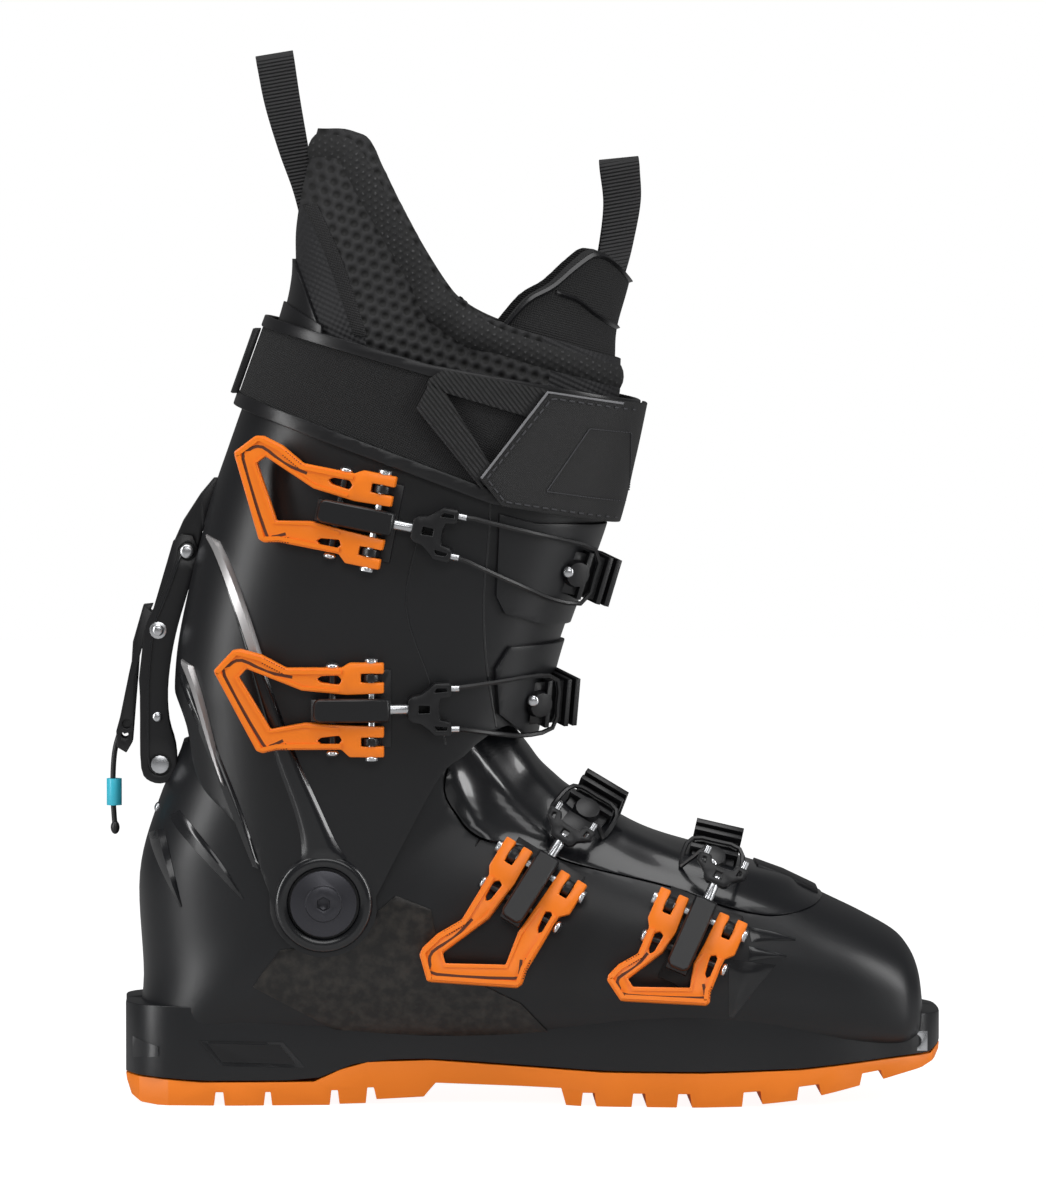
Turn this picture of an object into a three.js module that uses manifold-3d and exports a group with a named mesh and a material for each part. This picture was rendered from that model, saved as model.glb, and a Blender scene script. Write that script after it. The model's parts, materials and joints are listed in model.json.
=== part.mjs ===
// Ski touring boot, right foot, drawn in millimetres with +Z up and the toe towards +X.
// The lateral side, which carries the buckle levers, faces -Y.
import * as THREE from 'three';
import Module from 'manifold-3d';
import { mergeVertices } from 'three/addons/utils/BufferGeometryUtils.js';

const wasm = await Module();
wasm.setup();

// ---------------------------------------------------------------- driving sizes
const SOLE_LENGTH = 304;          // heel face to toe face
const ANKLE_WIDTH = 90;           // across the lower shell at the ankle
const CUFF_WIDTH = 107;           // across the cuff at the upper buckle
const SHELL_WALL = 4.5;           // lower shell wall
const CUFF_WALL = 3.6;            // cuff wall
const LINER_WALL = 8.5;           // liner foam at the leg
const LINER_FOOT_WALL = 5.5;      // liner foam round the foot
const EAR_GAP = 2.2;              // lower shell side to the inside of a cuff ear
const FIT_GAP = 0.35;             // still pieces that sit in or on one another
const RUN_GAP = 0.6;              // pieces that move past one another
const FLAP_THICKNESS = 2.4;       // instep flap sheet
const STRAP_THICKNESS = 3.2;      // power strap
const TAB_THICKNESS = 2;          // stitched grip tab on the strap
const PIVOT_BOLT_RADIUS = 5;      // cuff pivot shank
const PIVOT_WASHER_RADIUS = 12.4; // domed washer over the pivot
const PIN_RADIUS = 1.4;           // buckle hinge pins
const LEVER_THICKNESS = 4.6;      // buckle lever plate
const BLOCK_WIDTH = 8;            // buckle tension block
const BOLT_RADIUS = 1.9;          // adjuster bolt
const CABLE_RADIUS = 0.9;         // buckle cable
const CORD_RADIUS = 1;            // release pull cord
const BEAD_RADIUS = 2.9;          // bead on the pull cord
const BEAD_LENGTH = 10;
const OUTSOLE_DROP = 9;           // depth of the deepest lug channel
const INSERT_PIN_SPAN = 61;       // across the toe insert, socket face to socket face
const BAR_HALF_WIDTH = 10.4;      // walk lock bar, outside
const BAR_PLATE = 1.8;            // side plates of the walk lock bar
const WEBBING_WIDTH = 14;         // pull loop webbing
const WEBBING_THICKNESS = 1.4;

// ---------------------------------------------------------------- proportions
// The side outline grades with the sole length and the cross-sections with the ankle width.
const GRADE = SOLE_LENGTH / 304;
const WIDE = ANKLE_WIDTH / 90;
const CUFF_WIDE = CUFF_WIDTH / 107;
const side = (x, z) => [x * GRADE, z * GRADE];

const PIVOT = side(-78.3, 76.6);            // cuff hinge axis, square to the side view
const HEEL_PIVOT = side(-139.2, 125.4);     // lower end of the walk lock bar
const BAR_TOP = side(-128.9, 205);          // upper end of the walk lock bar, on the cuff
const RELEASE_PIVOT = side(-139.7, 175.6);  // release lever pin
const R_FLAP = 94.6 * GRADE;                // outer radius of the flap under the cuff
const R_CUFF_FRONT = R_FLAP + RUN_GAP;      // inner radius of the cuff front
const R_CUFF_REAR = 80.4 * GRADE;           // inner radius of the cuff behind the ankle
const R_LINER_FOOT = 87.6 * GRADE;          // the foot part of the liner ends here
const R_LINER_CUFF = 89.4 * GRADE;          // the leg part of the liner starts here
const RIM_HEIGHT = 134 * GRADE;             // rear rim of the lower shell
const EAR_RADIUS = 20 * GRADE;

const SHELL_HALF = ANKLE_WIDTH / 2;
const EAR_INSIDE = SHELL_HALF + EAR_GAP;
const EAR_OUTSIDE = EAR_INSIDE + CUFF_WALL;

const FACET_GAP = 0.4;                      // extra room between two faceted curved skins
const PIN_SHANK = PIN_RADIUS * 1.6;         // walk lock pins
const FAR = 500;                            // longer than any size of the boot
const SEGMENTS = 14;

// ---------------------------------------------------------------- helpers
function signedVolume(geometry) {
  const p = geometry.attributes.position;
  const index = geometry.index.array;
  const a = new THREE.Vector3();
  const b = new THREE.Vector3();
  const c = new THREE.Vector3();
  let volume = 0;
  for (let i = 0; i < index.length; i += 3) {
    a.fromBufferAttribute(p, index[i]);
    b.fromBufferAttribute(p, index[i + 1]);
    c.fromBufferAttribute(p, index[i + 2]);
    volume += a.dot(b.cross(c)) / 6;
  }
  return volume;
}

function solid(source) {
  let geometry = source.clone();
  geometry.deleteAttribute('normal');
  geometry.deleteAttribute('uv');
  geometry = mergeVertices(geometry, 1e-4);
  const triVerts = Uint32Array.from(geometry.index.array);
  if (signedVolume(geometry) < 0) {
    for (let i = 0; i < triVerts.length; i += 3) {
      const first = triVerts[i];
      triVerts[i] = triVerts[i + 1];
      triVerts[i + 1] = first;
    }
  }
  const vertProperties = Float32Array.from(geometry.attributes.position.array);
  return new wasm.Manifold(new wasm.Mesh({ numProp: 3, vertProperties, triVerts }));
}

function geometryOf(body) {
  const mesh = body.getMesh();
  const geometry = new THREE.BufferGeometry();
  geometry.setAttribute('position', new THREE.BufferAttribute(Float32Array.from(mesh.vertProperties), 3));
  geometry.setIndex(new THREE.BufferAttribute(Uint32Array.from(mesh.triVerts), 1));
  geometry.computeVertexNormals();
  return geometry;
}

function largestBody(body) {
  return body.decompose().reduce((best, one) => (one.volume() > best.volume() ? one : best));
}

function join(first, ...rest) {
  return rest.reduce((whole, next) => whole.add(next), first);
}

function cut(first, ...rest) {
  return rest.reduce((whole, next) => whole.subtract(next), first);
}

function piece(name, shape, finish) {
  const geometry = shape.isBufferGeometry ? shape : geometryOf(largestBody(shape));
  const material = new THREE.MeshStandardMaterial(finish);
  const mesh = new THREE.Mesh(geometry, material);
  mesh.name = name;
  return mesh;
}

// A capped tube of rings: sectionAt(level 0 to 1, angle, spread 0 to 1) gives each vertex.
function loft(sectionAt, levels, around) {
  const geometry = new THREE.CylinderGeometry(1, 1, 1, around, levels);
  const p = geometry.attributes.position;
  for (let i = 0; i < p.count; i += 1) {
    const spread = Math.hypot(p.getX(i), p.getZ(i)) > 0.5 ? 1 : 0;
    const angle = Math.atan2(p.getX(i), p.getZ(i));
    const point = sectionAt(p.getY(i) + 0.5, angle, spread);
    p.setXYZ(i, point.x, point.y, point.z);
  }
  return solid(geometry);
}

// Stations are [front x, front z, rear x, rear z, half width]; rings run between the two points.
function stationLoft(stations, inset, around, roundness) {
  const count = stations.length - 1;
  return loft((level, angle, spread) => {
    const [fx, fz, rx, rz, half] = stations[Math.round(level * count)];
    const length = Math.hypot(fx - rx, fz - rz);
    const reach = length / 2 - inset;
    const along = Math.sign(Math.cos(angle)) * Math.abs(Math.cos(angle)) ** (2 / roundness) * spread;
    const across = Math.sign(Math.sin(angle)) * Math.abs(Math.sin(angle)) ** (2 / roundness) * spread;
    const ux = (fx - rx) / length;
    const uz = (fz - rz) / length;
    return new THREE.Vector3(
      (fx + rx) / 2 + ux * reach * along,
      (half - inset) * across,
      (fz + rz) / 2 + uz * reach * along,
    );
  }, count, around);
}

// A plate whose outline is drawn in the side view and which runs from yLow to yHigh.
function sidePlate(points, yLow, yHigh) {
  const shape = new THREE.Shape(points.map(([x, z]) => new THREE.Vector2(x, z)));
  const geometry = new THREE.ExtrudeGeometry(shape, { depth: yHigh - yLow, bevelEnabled: false });
  geometry.rotateX(Math.PI / 2);
  geometry.translate(0, yHigh, 0);
  return solid(geometry);
}

// A disc or shank along Y, centred on a side-view point.
function sideDisc([x, z], radius, yLow, yHigh, sides = 24) {
  const geometry = new THREE.CylinderGeometry(radius, radius, yHigh - yLow, sides);
  geometry.translate(x, (yLow + yHigh) / 2, z);
  return solid(geometry);
}

// A block standing on an outline drawn in plan.
function planPlate(points, zLow, zHigh) {
  const shape = new THREE.Shape(points.map(([x, y]) => new THREE.Vector2(x, y)));
  const geometry = new THREE.ExtrudeGeometry(shape, { depth: zHigh - zLow, bevelEnabled: false });
  geometry.translate(0, 0, zLow);
  return solid(geometry);
}

function box(x0, x1, y0, y1, z0, z1) {
  const geometry = new THREE.BoxGeometry(x1 - x0, y1 - y0, z1 - z0);
  geometry.translate((x0 + x1) / 2, (y0 + y1) / 2, (z0 + z1) / 2);
  return solid(geometry);
}

function circleShape(radius, sides) {
  const points = [];
  for (let i = 0; i < sides; i += 1) {
    const a = (i / sides) * Math.PI * 2;
    points.push(new THREE.Vector2(Math.cos(a) * radius, Math.sin(a) * radius));
  }
  return new THREE.Shape(points);
}

// A round tube along a smooth path through the given points.
function tube(points, radius, steps, sides = 8) {
  const path = new THREE.CatmullRomCurve3(points, false, 'centripetal');
  const options = { extrudePath: path, steps, bevelEnabled: false };
  return solid(new THREE.ExtrudeGeometry(circleShape(radius, sides), options));
}

// Arc points about the cuff pivot, angles in degrees from +X towards +Z.
function arc([cx, cz], radius, from, to, steps) {
  const points = [];
  for (let i = 0; i <= steps; i += 1) {
    const a = THREE.MathUtils.degToRad(from + ((to - from) * i) / steps);
    points.push([cx + Math.cos(a) * radius, cz + Math.sin(a) * radius]);
  }
  return points;
}

function frameMatrix(origin, along, outward) {
  const x = along.clone().normalize();
  const y = new THREE.Vector3().crossVectors(outward, x).normalize();
  const z = new THREE.Vector3().crossVectors(x, y);
  return new THREE.Matrix4().makeBasis(x, y, z).setPosition(origin);
}

function toLocal(body, matrix) {
  return solid(geometryOf(body).applyMatrix4(matrix.clone().invert()));
}

// The lateral surface point at a side-view position.
function lateralPoint(target, [x, z]) {
  const ray = new THREE.Raycaster(new THREE.Vector3(x, -400, z), new THREE.Vector3(0, 1, 0));
  const hit = ray.intersectObject(target)[0];
  return hit ? hit.point : null;
}

// ---------------------------------------------------------------- finishes
const SHELL_BLACK = { color: 0x1b1b1d, roughness: 0.5, metalness: 0 };
const GLOSS_BLACK = { color: 0x101114, roughness: 0.2, metalness: 0 };
const TRIM_BLACK = { color: 0x151517, roughness: 0.45, metalness: 0 };
const SOLE_ORANGE = { color: 0xf58220, roughness: 0.6, metalness: 0 };
const LEVER_ORANGE = { color: 0xf58a1f, roughness: 0.42, metalness: 0 };
const FABRIC_BLACK = { color: 0x1d1d1f, roughness: 0.95, metalness: 0 };
const STEEL = { color: 0xc8cacd, roughness: 0.3, metalness: 0.9 };
const FOAM_GREY = { color: 0x3a3a3d, roughness: 0.9, metalness: 0 };
const BEAD_CYAN = { color: 0x5fcfe0, roughness: 0.35, metalness: 0 };

// ---------------------------------------------------------------- lower shell
// Each station runs from the instep line down to the sole or round to the heel.
function graded(list, wide) {
  return list.map(([fx, fz, rx, rz, half]) => [...side(fx, fz), ...side(rx, rz), half * wide]);
}

const SHELL_STATIONS = graded([
  [145.6, 41, 145.6, 24, 20], [144, 50, 144.6, 20, 31], [140.9, 56.6, 142, 18, 37],
  [135.7, 62, 137, 16, 41.5], [124, 68.6, 126, 15, 46], [111.8, 74.5, 112, 14, 49],
  [95, 82.5, 90, 14, 51.2], [70, 91.7, 62, 14, 52], [44, 99.6, 25, 15, 50],
  [28, 108, -12, 16, 47], [14.5, 115.6, -52, 16, 45], [7.5, 121.3, -92, 15, 44.6],
  [2.6, 126, -126, 14, 44.8], [-1.5, 131.5, -147, 16, 45], [-5.5, 136.5, -145.6, 46, 45],
  [-9.6, 141.2, -147, 84, 45], [-14, 146, -139.6, 112, 45], [-19, 150.4, -130.4, 134, 44.6],
  [-24, 165, -126, 160, 44],
], WIDE);
const SHELL_INNER_STATIONS = SHELL_STATIONS.slice(2);
const SHELL_AROUND = 24;
const LINER_AROUND = 18;
const SHELL_ROUNDNESS = 2.5;

const shellLoft = (grow) => stationLoft(SHELL_STATIONS, -grow, SHELL_AROUND, SHELL_ROUNDNESS);
const shellCavity = (inset, around = SHELL_AROUND) => (
  stationLoft(SHELL_INNER_STATIONS, inset, around, SHELL_ROUNDNESS)
);

const SOLE_PLAN = [
  [-152, 0], [-152, -17], [-147, -28], [-136, -34.5], [-112, -36.5], [-80, -35], [-40, -32.5],
  [-5, -36], [30, -44], [62, -48], [90, -47], [112, -42.5], [130, -35.5], [143, -30.5],
  [149, -25], [152.3, -14], [152.3, 14], [149, 25], [143, 30.5], [130, 35.5], [112, 41],
  [90, 44], [62, 45], [30, 42], [-5, 36], [-40, 33], [-80, 35], [-112, 36.5], [-136, 34.5],
  [-147, 28], [-152, 17],
].map(([x, y]) => [x * GRADE, y * WIDE]);

// Joint line between the lower shell and the outsole, heel to toe.
const SOLE_LINE = [
  [-152, 11], [-124, 9], [-82, 9], [-72, 13.5], [-62, 16.2], [-38, 16.7], [-12, 15],
  [25, 13], [62, 13], [99, 14], [125, 16.2], [137, 17.4], [148, 18.2], [152.3, 21.6],
];

function soleBlock() {
  const top = [
    [152.3, 31.4], [142, 31.4], [124, 29], [60, 26], [-60, 27], [-112, 30], [-120, 36.6], [-152, 37],
  ];
  const outline = [...SOLE_LINE, ...top].map(([x, z]) => side(x, z));
  const wall = sidePlate(outline, -FAR, FAR);
  return planPlate(SOLE_PLAN, 0, 45 * GRADE).intersect(wall);
}

const INSERT_FRONT_BAR = 143.6;   // the insert crosses the toe ahead of here
const INSERT_LUG_INSIDE = 28;     // and its two lugs lie outside here
const INSERT = { x0: 137.4, x1: 146.8, z0: 19.2, z1: 26.6 };
const HEEL_PLATE = { x0: -151.7, x1: -148.6, z0: 12.5, z1: 32.6, half: 15 };

function toeInsertPocket() {
  const [x0, z0] = side(INSERT.x0, INSERT.z0);
  const [x1, z1] = side(INSERT.x1, INSERT.z1);
  const room = box(x0 - FIT_GAP, x1 + FIT_GAP, -FAR, FAR, z0 - FIT_GAP, z1 + FIT_GAP);
  return room.subtract(toeFootRoom(FIT_GAP));
}

// The insert goes round the front of the foot space.
function toeFootRoom(gap) {
  const [front] = side(INSERT_FRONT_BAR, 0);
  const half = INSERT_LUG_INSIDE * WIDE - gap;
  return box(-FAR, front - gap, -half, half, 0, FAR);
}

function heelPlatePocket() {
  const [x0, z0] = side(HEEL_PLATE.x0, HEEL_PLATE.z0);
  const [x1, z1] = side(HEEL_PLATE.x1, HEEL_PLATE.z1);
  const half = HEEL_PLATE.half * WIDE + FIT_GAP;
  return box(x0 - FAR, x1 + FIT_GAP, -half, half, z0 - FIT_GAP, z1 + FIT_GAP);
}

const FLAP_OUTLINE = [
  [-19.5, 152], [-33.5, 121.6], [-28.4, 107], [-20.5, 99.5], [-8, 96.5], [4, 93.5],
  [17.3, 89.3], [50, 81.5], [71.6, 74], [88, 71], [102.5, 73.2], [112, 78], [112, 100],
  [30, 150], [-8, 175],
].map(([x, z]) => side(x, z));

const FLAP_HALF_LENGTH = 60 * GRADE;

// The flap outline, scaled up about its middle by the given growth at its ends.
function flapRegion(grow) {
  const middle = side(30, 105);
  const scale = 1 + grow / FLAP_HALF_LENGTH;
  const larger = FLAP_OUTLINE.map(([x, z]) => [
    middle[0] + (x - middle[0]) * scale,
    middle[1] + (z - middle[1]) * scale,
  ]);
  return sidePlate(larger, -FAR, FAR);
}

const SPUR_HALF = BAR_HALF_WIDTH - BAR_PLATE - RUN_GAP;
const BAR_HUB_ROOM = 9 * GRADE;   // free radius round the lower end of the bar

// The spur on the heel carries the lower end of the walk lock.
function heelSpur() {
  const outline = [
    [-126, 92], [-147, 92], [-148.6, 96], [-148.6, 109], [-145, 113.4], [-144.6, 119],
    [-144.8, 125.4], [-142.4, 130.2], [-138, 131.6], [-133.6, 128.6], [-126, 122],
  ].map(([x, z]) => side(x, z));
  return sidePlate(outline, -SPUR_HALF, SPUR_HALF);
}

// Room behind the heel for the side plates of the walk lock bar.
function barRecess() {
  const half = BAR_HALF_WIDTH + RUN_GAP;
  const hub = sideDisc(HEEL_PIVOT, BAR_HUB_ROOM, -half, half);
  const [limit, low] = side(-133, 125.4);
  const behind = box(-FAR, limit, -half, half, 0, FAR);
  const above = box(-FAR, limit, -half, half, low, FAR);
  return join(hub.intersect(behind), above);
}

function buildLowerShell() {
  const skin = join(shellLoft(0), soleBlock());
  const flapRoom = flapRegion(FIT_GAP).subtract(shellLoft(-(FLAP_THICKNESS + FIT_GAP)));
  const above = box(-FAR, FAR, -FAR, FAR, RIM_HEIGHT, FAR);
  const joint = [...SOLE_LINE].reverse().map(([x, z]) => side(x, z));
  const under = sidePlate([[-FAR, -FAR], [FAR, -FAR], ...joint], -FAR, FAR);
  const shank = PIVOT_BOLT_RADIUS + FIT_GAP;
  const bolts = sideDisc(PIVOT, shank, -FAR, FAR);
  const pin = sideDisc(HEEL_PIVOT, PIN_SHANK + FIT_GAP, -FAR, FAR, 12);
  let body = cut(skin, flapRoom, above, under, barRecess());
  body = join(body, heelSpur().subtract(shellCavity(SHELL_WALL / 2)));
  return cut(body, shellCavity(SHELL_WALL), bolts, pin, toeInsertPocket(), heelPlatePocket());
}

const FLAP_TOP = 149 * GRADE;

function buildFlap() {
  const sheet = shellLoft(0).subtract(shellLoft(-FLAP_THICKNESS));
  return cut(sheet.intersect(flapRegion(0)), box(-FAR, FAR, -FAR, FAR, FLAP_TOP, FAR));
}

// ---------------------------------------------------------------- cuff
const CUFF_STATIONS = graded([
  [-2, 50, -126, 45, 50.4], [0, 105, -131, 105, 51], [0.8, 137, -133.2, 141, 51.6],
  [5, 152, -134, 158, 52], [11.5, 175, -131.2, 180, 52.6], [25.9, 214, -122, 218, 53.4],
  [32.4, 240, -112, 248, 53.8], [37, 262, -98, 287, 54], [41, 282, -90, 308, 54],
], CUFF_WIDE);
const CUFF_AROUND = 26;
const CUFF_ROUNDNESS = 2.9;
const cuffLoft = (grow) => stationLoft(CUFF_STATIONS, -grow, CUFF_AROUND, CUFF_ROUNDNESS);

const CUFF_FRONT_EDGE = [
  [-58.9, 79], [-49.7, 97], [-35.5, 123], [-26, 131], [-20.5, 136], [-9.9, 141.5], [0.4, 137.6],
].map(([x, z]) => side(x, z));
const CUFF_REAR_EDGE = [
  [-133.4, 152.5], [-128.9, 140.6], [-124, 120], [-107.5, 102], [-98.2, 80],
].map(([x, z]) => side(x, z));
const CUFF_TOP_EDGE = [
  [60, 254], [38, 256], [-30, 270], [-99, 292], [-160, 306],
].map(([x, z]) => side(x, z));

function cuffOutline() {
  const ear = arc(PIVOT, EAR_RADIUS, 190, 350, 10);
  const front = [...CUFF_FRONT_EDGE, side(20, 137)];
  const rear = [side(-160, 165), side(-134.6, 163), ...CUFF_REAR_EDGE];
  return [...ear, ...front, ...CUFF_TOP_EDGE, ...rear];
}

const NOTCH_HALF = BAR_HALF_WIDTH + 3.4;
const NOTCH_START = -90 * GRADE;        // the rear notch is open behind here
const NOTCH_TOP = 215 * GRADE;
const LINER_NOTCH_TOP = 201 * GRADE;
const rearNotch = (top) => box(-FAR, NOTCH_START, -NOTCH_HALF, NOTCH_HALF, 0, top);

const CUFF_FRONT_START = -70 * GRADE;   // the front hollow is turned only ahead of here

function cuffHollow() {
  const front = sideDisc(PIVOT, R_CUFF_FRONT, -EAR_INSIDE, EAR_INSIDE, 48);
  const ahead = box(CUFF_FRONT_START, FAR, -FAR, FAR, -FAR, FAR);
  const rear = sideDisc(PIVOT, R_CUFF_REAR, -EAR_INSIDE, EAR_INSIDE, 48);
  return join(cuffLoft(-CUFF_WALL), front.intersect(ahead), rear);
}

// Raised pads under the two cuff catches, drawn in the side view.
const PADS = [
  [[-13.2, 220.6], [0, 217], [60, 214], [60, 178], [4, 178.6], [-11, 183.5], [-14.3, 190]],
  [[-14.3, 163], [-9, 171], [60, 173.6], [60, 136], [-3, 138], [-13, 146]],
];
const PAD_RISE = 1.8;
const PAD_EDGE = -2;                    // the pads stop just short of the shin line

function padRegion(corners) {
  return sidePlate(corners.map(([x, z]) => side(x, z)), -FAR, PAD_EDGE);
}

function buildCuff() {
  const pads = PADS.map((corners) => cuffLoft(PAD_RISE).intersect(padRegion(corners)));
  const trimmed = join(cuffLoft(0), ...pads).intersect(sidePlate(cuffOutline(), -FAR, FAR));
  const notch = rearNotch(NOTCH_TOP);
  const shank = sideDisc(PIVOT, PIVOT_BOLT_RADIUS + RUN_GAP, -FAR, FAR);
  const seat = EAR_OUTSIDE + FIT_GAP / 2;
  const seats = [1, -1].map((sign) => pivotDisc(sign, PIVOT_WASHER_RADIUS + RUN_GAP, seat, FAR, 28));
  return cut(trimmed, cuffHollow(), notch, shank, ...seats);
}

// ---------------------------------------------------------------- liner
const FLOOR_TOP = 22.6 * GRADE;         // top of the boot board
const LINER_SOLE = 3.5;                 // liner under the foot
const LINER_FLOOR = FLOOR_TOP + FIT_GAP + LINER_SOLE;
const LINER_MOUTH = 151 * GRADE;        // the foot part ends below this height
const FOOTBED_THICKNESS = 3;

const LINER_TOP = graded([
  [33.2, 276, -88.6, 306, 48.8], [34, 288, -88, 326, 48], [38.8, 306, -84, 348, 47],
  [43, 330, -77, 372, 46],
], CUFF_WIDE);

function linerLoft(inset) {
  const lower = CUFF_STATIONS.slice(1, 8).map(([fx, fz, rx, rz, half]) => {
    const length = Math.hypot(fx - rx, fz - rz);
    const inside = CUFF_WALL + FIT_GAP + FACET_GAP;
    const step = inside / length;
    const dx = (fx - rx) * step;
    const dz = (fz - rz) * step;
    return [fx - dx, fz - dz, rx + dx, rz + dz, half - inside];
  });
  return stationLoft([...lower, ...LINER_TOP], inset, LINER_AROUND, CUFF_ROUNDNESS);
}

const LINER_EDGE = [
  [-90, 372], [-78.3, 362.6], [-66, 362.6], [-57.5, 348], [-48.2, 331.5], [-34, 308], [-25.5, 298.3],
  [-12.5, 292.4], [6.5, 305.4], [22.9, 317.3], [38.5, 304.3], [70, 290],
].map(([x, z]) => side(x, z));

const LINER_BELOW = [side(70, 40), side(-170, 40), side(-170, 372)];

// The leg part of the liner as a solid block, its collar line raised by the given amount.
function linerBlock(inset, raise) {
  const edge = LINER_EDGE.map(([x, z]) => [x, z + raise]);
  return linerLoft(inset).intersect(sidePlate([...edge, ...LINER_BELOW], -FAR, FAR));
}

function buildLinerCuff() {
  const rounds = sideDisc(PIVOT, R_LINER_CUFF, -FAR, FAR, 40);
  const flapSide = sidePlate([PIVOT, ...arc(PIVOT, R_FLAP + RUN_GAP, -30, 66, 16)], -FAR, FAR);
  const open = join(linerLoft(LINER_WALL), rounds, flapSide);
  const low = box(-FAR, FAR, -FAR, FAR, -FAR, PIVOT[1]);
  return cut(linerBlock(0, 0), open, low, rearNotch(LINER_NOTCH_TOP));
}

function buildLinerFoot() {
  const inset = SHELL_WALL + FIT_GAP + FACET_GAP;
  const outer = shellCavity(inset, LINER_AROUND);
  const room = box(-FAR, FAR, -FAR, FAR, LINER_FLOOR, FAR);
  const inner = shellCavity(inset + LINER_FOOT_WALL, LINER_AROUND).intersect(room);
  const front = shellLoft(-(FLAP_THICKNESS + SHELL_WALL));
  const limit = sidePlate([
    ...arc(PIVOT, R_LINER_FOOT, 20, 160, 16),
    side(-200, 60), side(-200, -20), side(200, -20), side(200, 100),
  ], -FAR, FAR);
  const mouth = box(-FAR, FAR, -FAR, FAR, LINER_MOUTH, FAR);
  const floor = box(-FAR, FAR, -FAR, FAR, -FAR, FLOOR_TOP + FIT_GAP);
  return cut(outer.intersect(front).intersect(limit), inner, mouth, floor);
}

function buildBootBoard() {
  const inside = shellCavity(SHELL_WALL + FIT_GAP + FACET_GAP, LINER_AROUND);
  const slab = box(-FAR, FAR, -FAR, FAR, -FAR, FLOOR_TOP);
  return inside.intersect(slab);
}

function buildFootbed() {
  const inset = SHELL_WALL + LINER_FOOT_WALL + (FIT_GAP + FACET_GAP) * 2;
  const inside = shellCavity(inset, LINER_AROUND);
  const floor = LINER_FLOOR + FIT_GAP;
  return inside.intersect(box(-FAR, FAR, -FAR, FAR, floor, floor + FOOTBED_THICKNESS));
}

// ---------------------------------------------------------------- sole and inserts
const TREAD = [
  [-151.6, 8], [-149.8, 3], [-146, 0.8], [-140, 0], [-119, 0], [-118.4, 5], [-115.6, 5], [-115, 0],
  [-100.5, 0], [-99.9, 5], [-98, 5], [-97.4, 0], [-76, 0], [-75.4, 5.5], [-73, 5.5], [-72.4, 0.4],
  [-62.6, 0.6], [-62, 6.4], [-59.6, 6.4], [-58.6, 2], [-41, 2.8], [-36.6, 8], [10, 6.6],
  [11.7, 0.3], [17.3, 0], [17.9, 5], [22.3, 5], [22.9, 0], [35.9, 0], [36.5, 5], [40.9, 5],
  [41.5, 0], [52.6, 0], [53.2, 5], [57.6, 5], [58.2, 0], [76.8, 0.3], [77.4, 5.6], [83.7, 6],
  [84.3, 1.2], [97.3, 2.4], [98, 7.4], [105.6, 8.2], [106.4, 4], [121, 7.2], [122, 11.6],
  [129, 12.6], [130, 9.2], [145, 13], [150, 15.6], [152, 18.6],
];

const GROOVE_WIDTH = 7;                 // groove along the middle of the sole

function buildOutsole() {
  const top = [...SOLE_LINE].reverse().map(([x, z]) => [x * GRADE, z * GRADE - FIT_GAP]);
  const outline = [...TREAD.map(([x, z]) => side(x, z)), ...top];
  const slab = sidePlate(outline, -FAR, FAR).intersect(planPlate(SOLE_PLAN, -5, 40 * GRADE));
  const half = GROOVE_WIDTH / 2;
  const groove = box(-135 * GRADE, 120 * GRADE, -half, half, -OUTSOLE_DROP, OUTSOLE_DROP / 2);
  return cut(slab, groove);
}

const SOCKET = { mouth: 2.7, bottom: 0.6, depth: 2.6 };   // cone for the pins of a toe piece

function buildToeInsert() {
  const [x0, z0] = side(INSERT.x0, INSERT.z0);
  const [x1, z1] = side(INSERT.x1, INSERT.z1);
  const half = INSERT_PIN_SPAN / 2;
  const bar = box(x0, x1, -half, half, z0, z1);
  const sockets = [-1, 1].map((sign) => {
    const cone = new THREE.CylinderGeometry(SOCKET.bottom, SOCKET.mouth, SOCKET.depth, SEGMENTS);
    cone.rotateX(sign < 0 ? Math.PI : 0);
    cone.translate((x0 + x1) / 2, -sign * (half - SOCKET.depth / 2 + 0.1), (z0 + z1) / 2);
    return solid(cone);
  });
  return cut(bar, toeFootRoom(0), ...sockets);
}

const HEEL_SCREW = { radius: 2.2, spacing: 14, height: 0.62 };   // height as a share of the plate

function buildHeelInsert() {
  const [x0, z0] = side(HEEL_PLATE.x0, HEEL_PLATE.z0);
  const [x1, z1] = side(HEEL_PLATE.x1, HEEL_PLATE.z1);
  const half = HEEL_PLATE.half * WIDE;
  const plate = box(x0, x1, -half, half, z0, z1);
  const holes = [-1, 1].map((sign) => {
    const hole = new THREE.CylinderGeometry(HEEL_SCREW.radius, HEEL_SCREW.radius, FAR, SEGMENTS);
    hole.rotateZ(Math.PI / 2);
    hole.translate(x0, (sign * HEEL_SCREW.spacing) / 2, z0 + (z1 - z0) * HEEL_SCREW.height);
    return solid(hole);
  });
  return cut(plate, ...holes);
}

const ANCHOR_THICKNESS = 2;

function buildFlapAnchor() {
  const outline = [[84, 60], [84, 96], [107, 96], [107, 60]].map(([x, z]) => side(x, z));
  const region = sidePlate(outline, -15 * WIDE, 15 * WIDE);
  const layer = shellLoft(FIT_GAP + ANCHOR_THICKNESS).subtract(shellLoft(FIT_GAP));
  return cut(layer.intersect(region), box(-FAR, FAR, -FAR, FAR, -FAR, 50 * GRADE));
}

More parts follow.
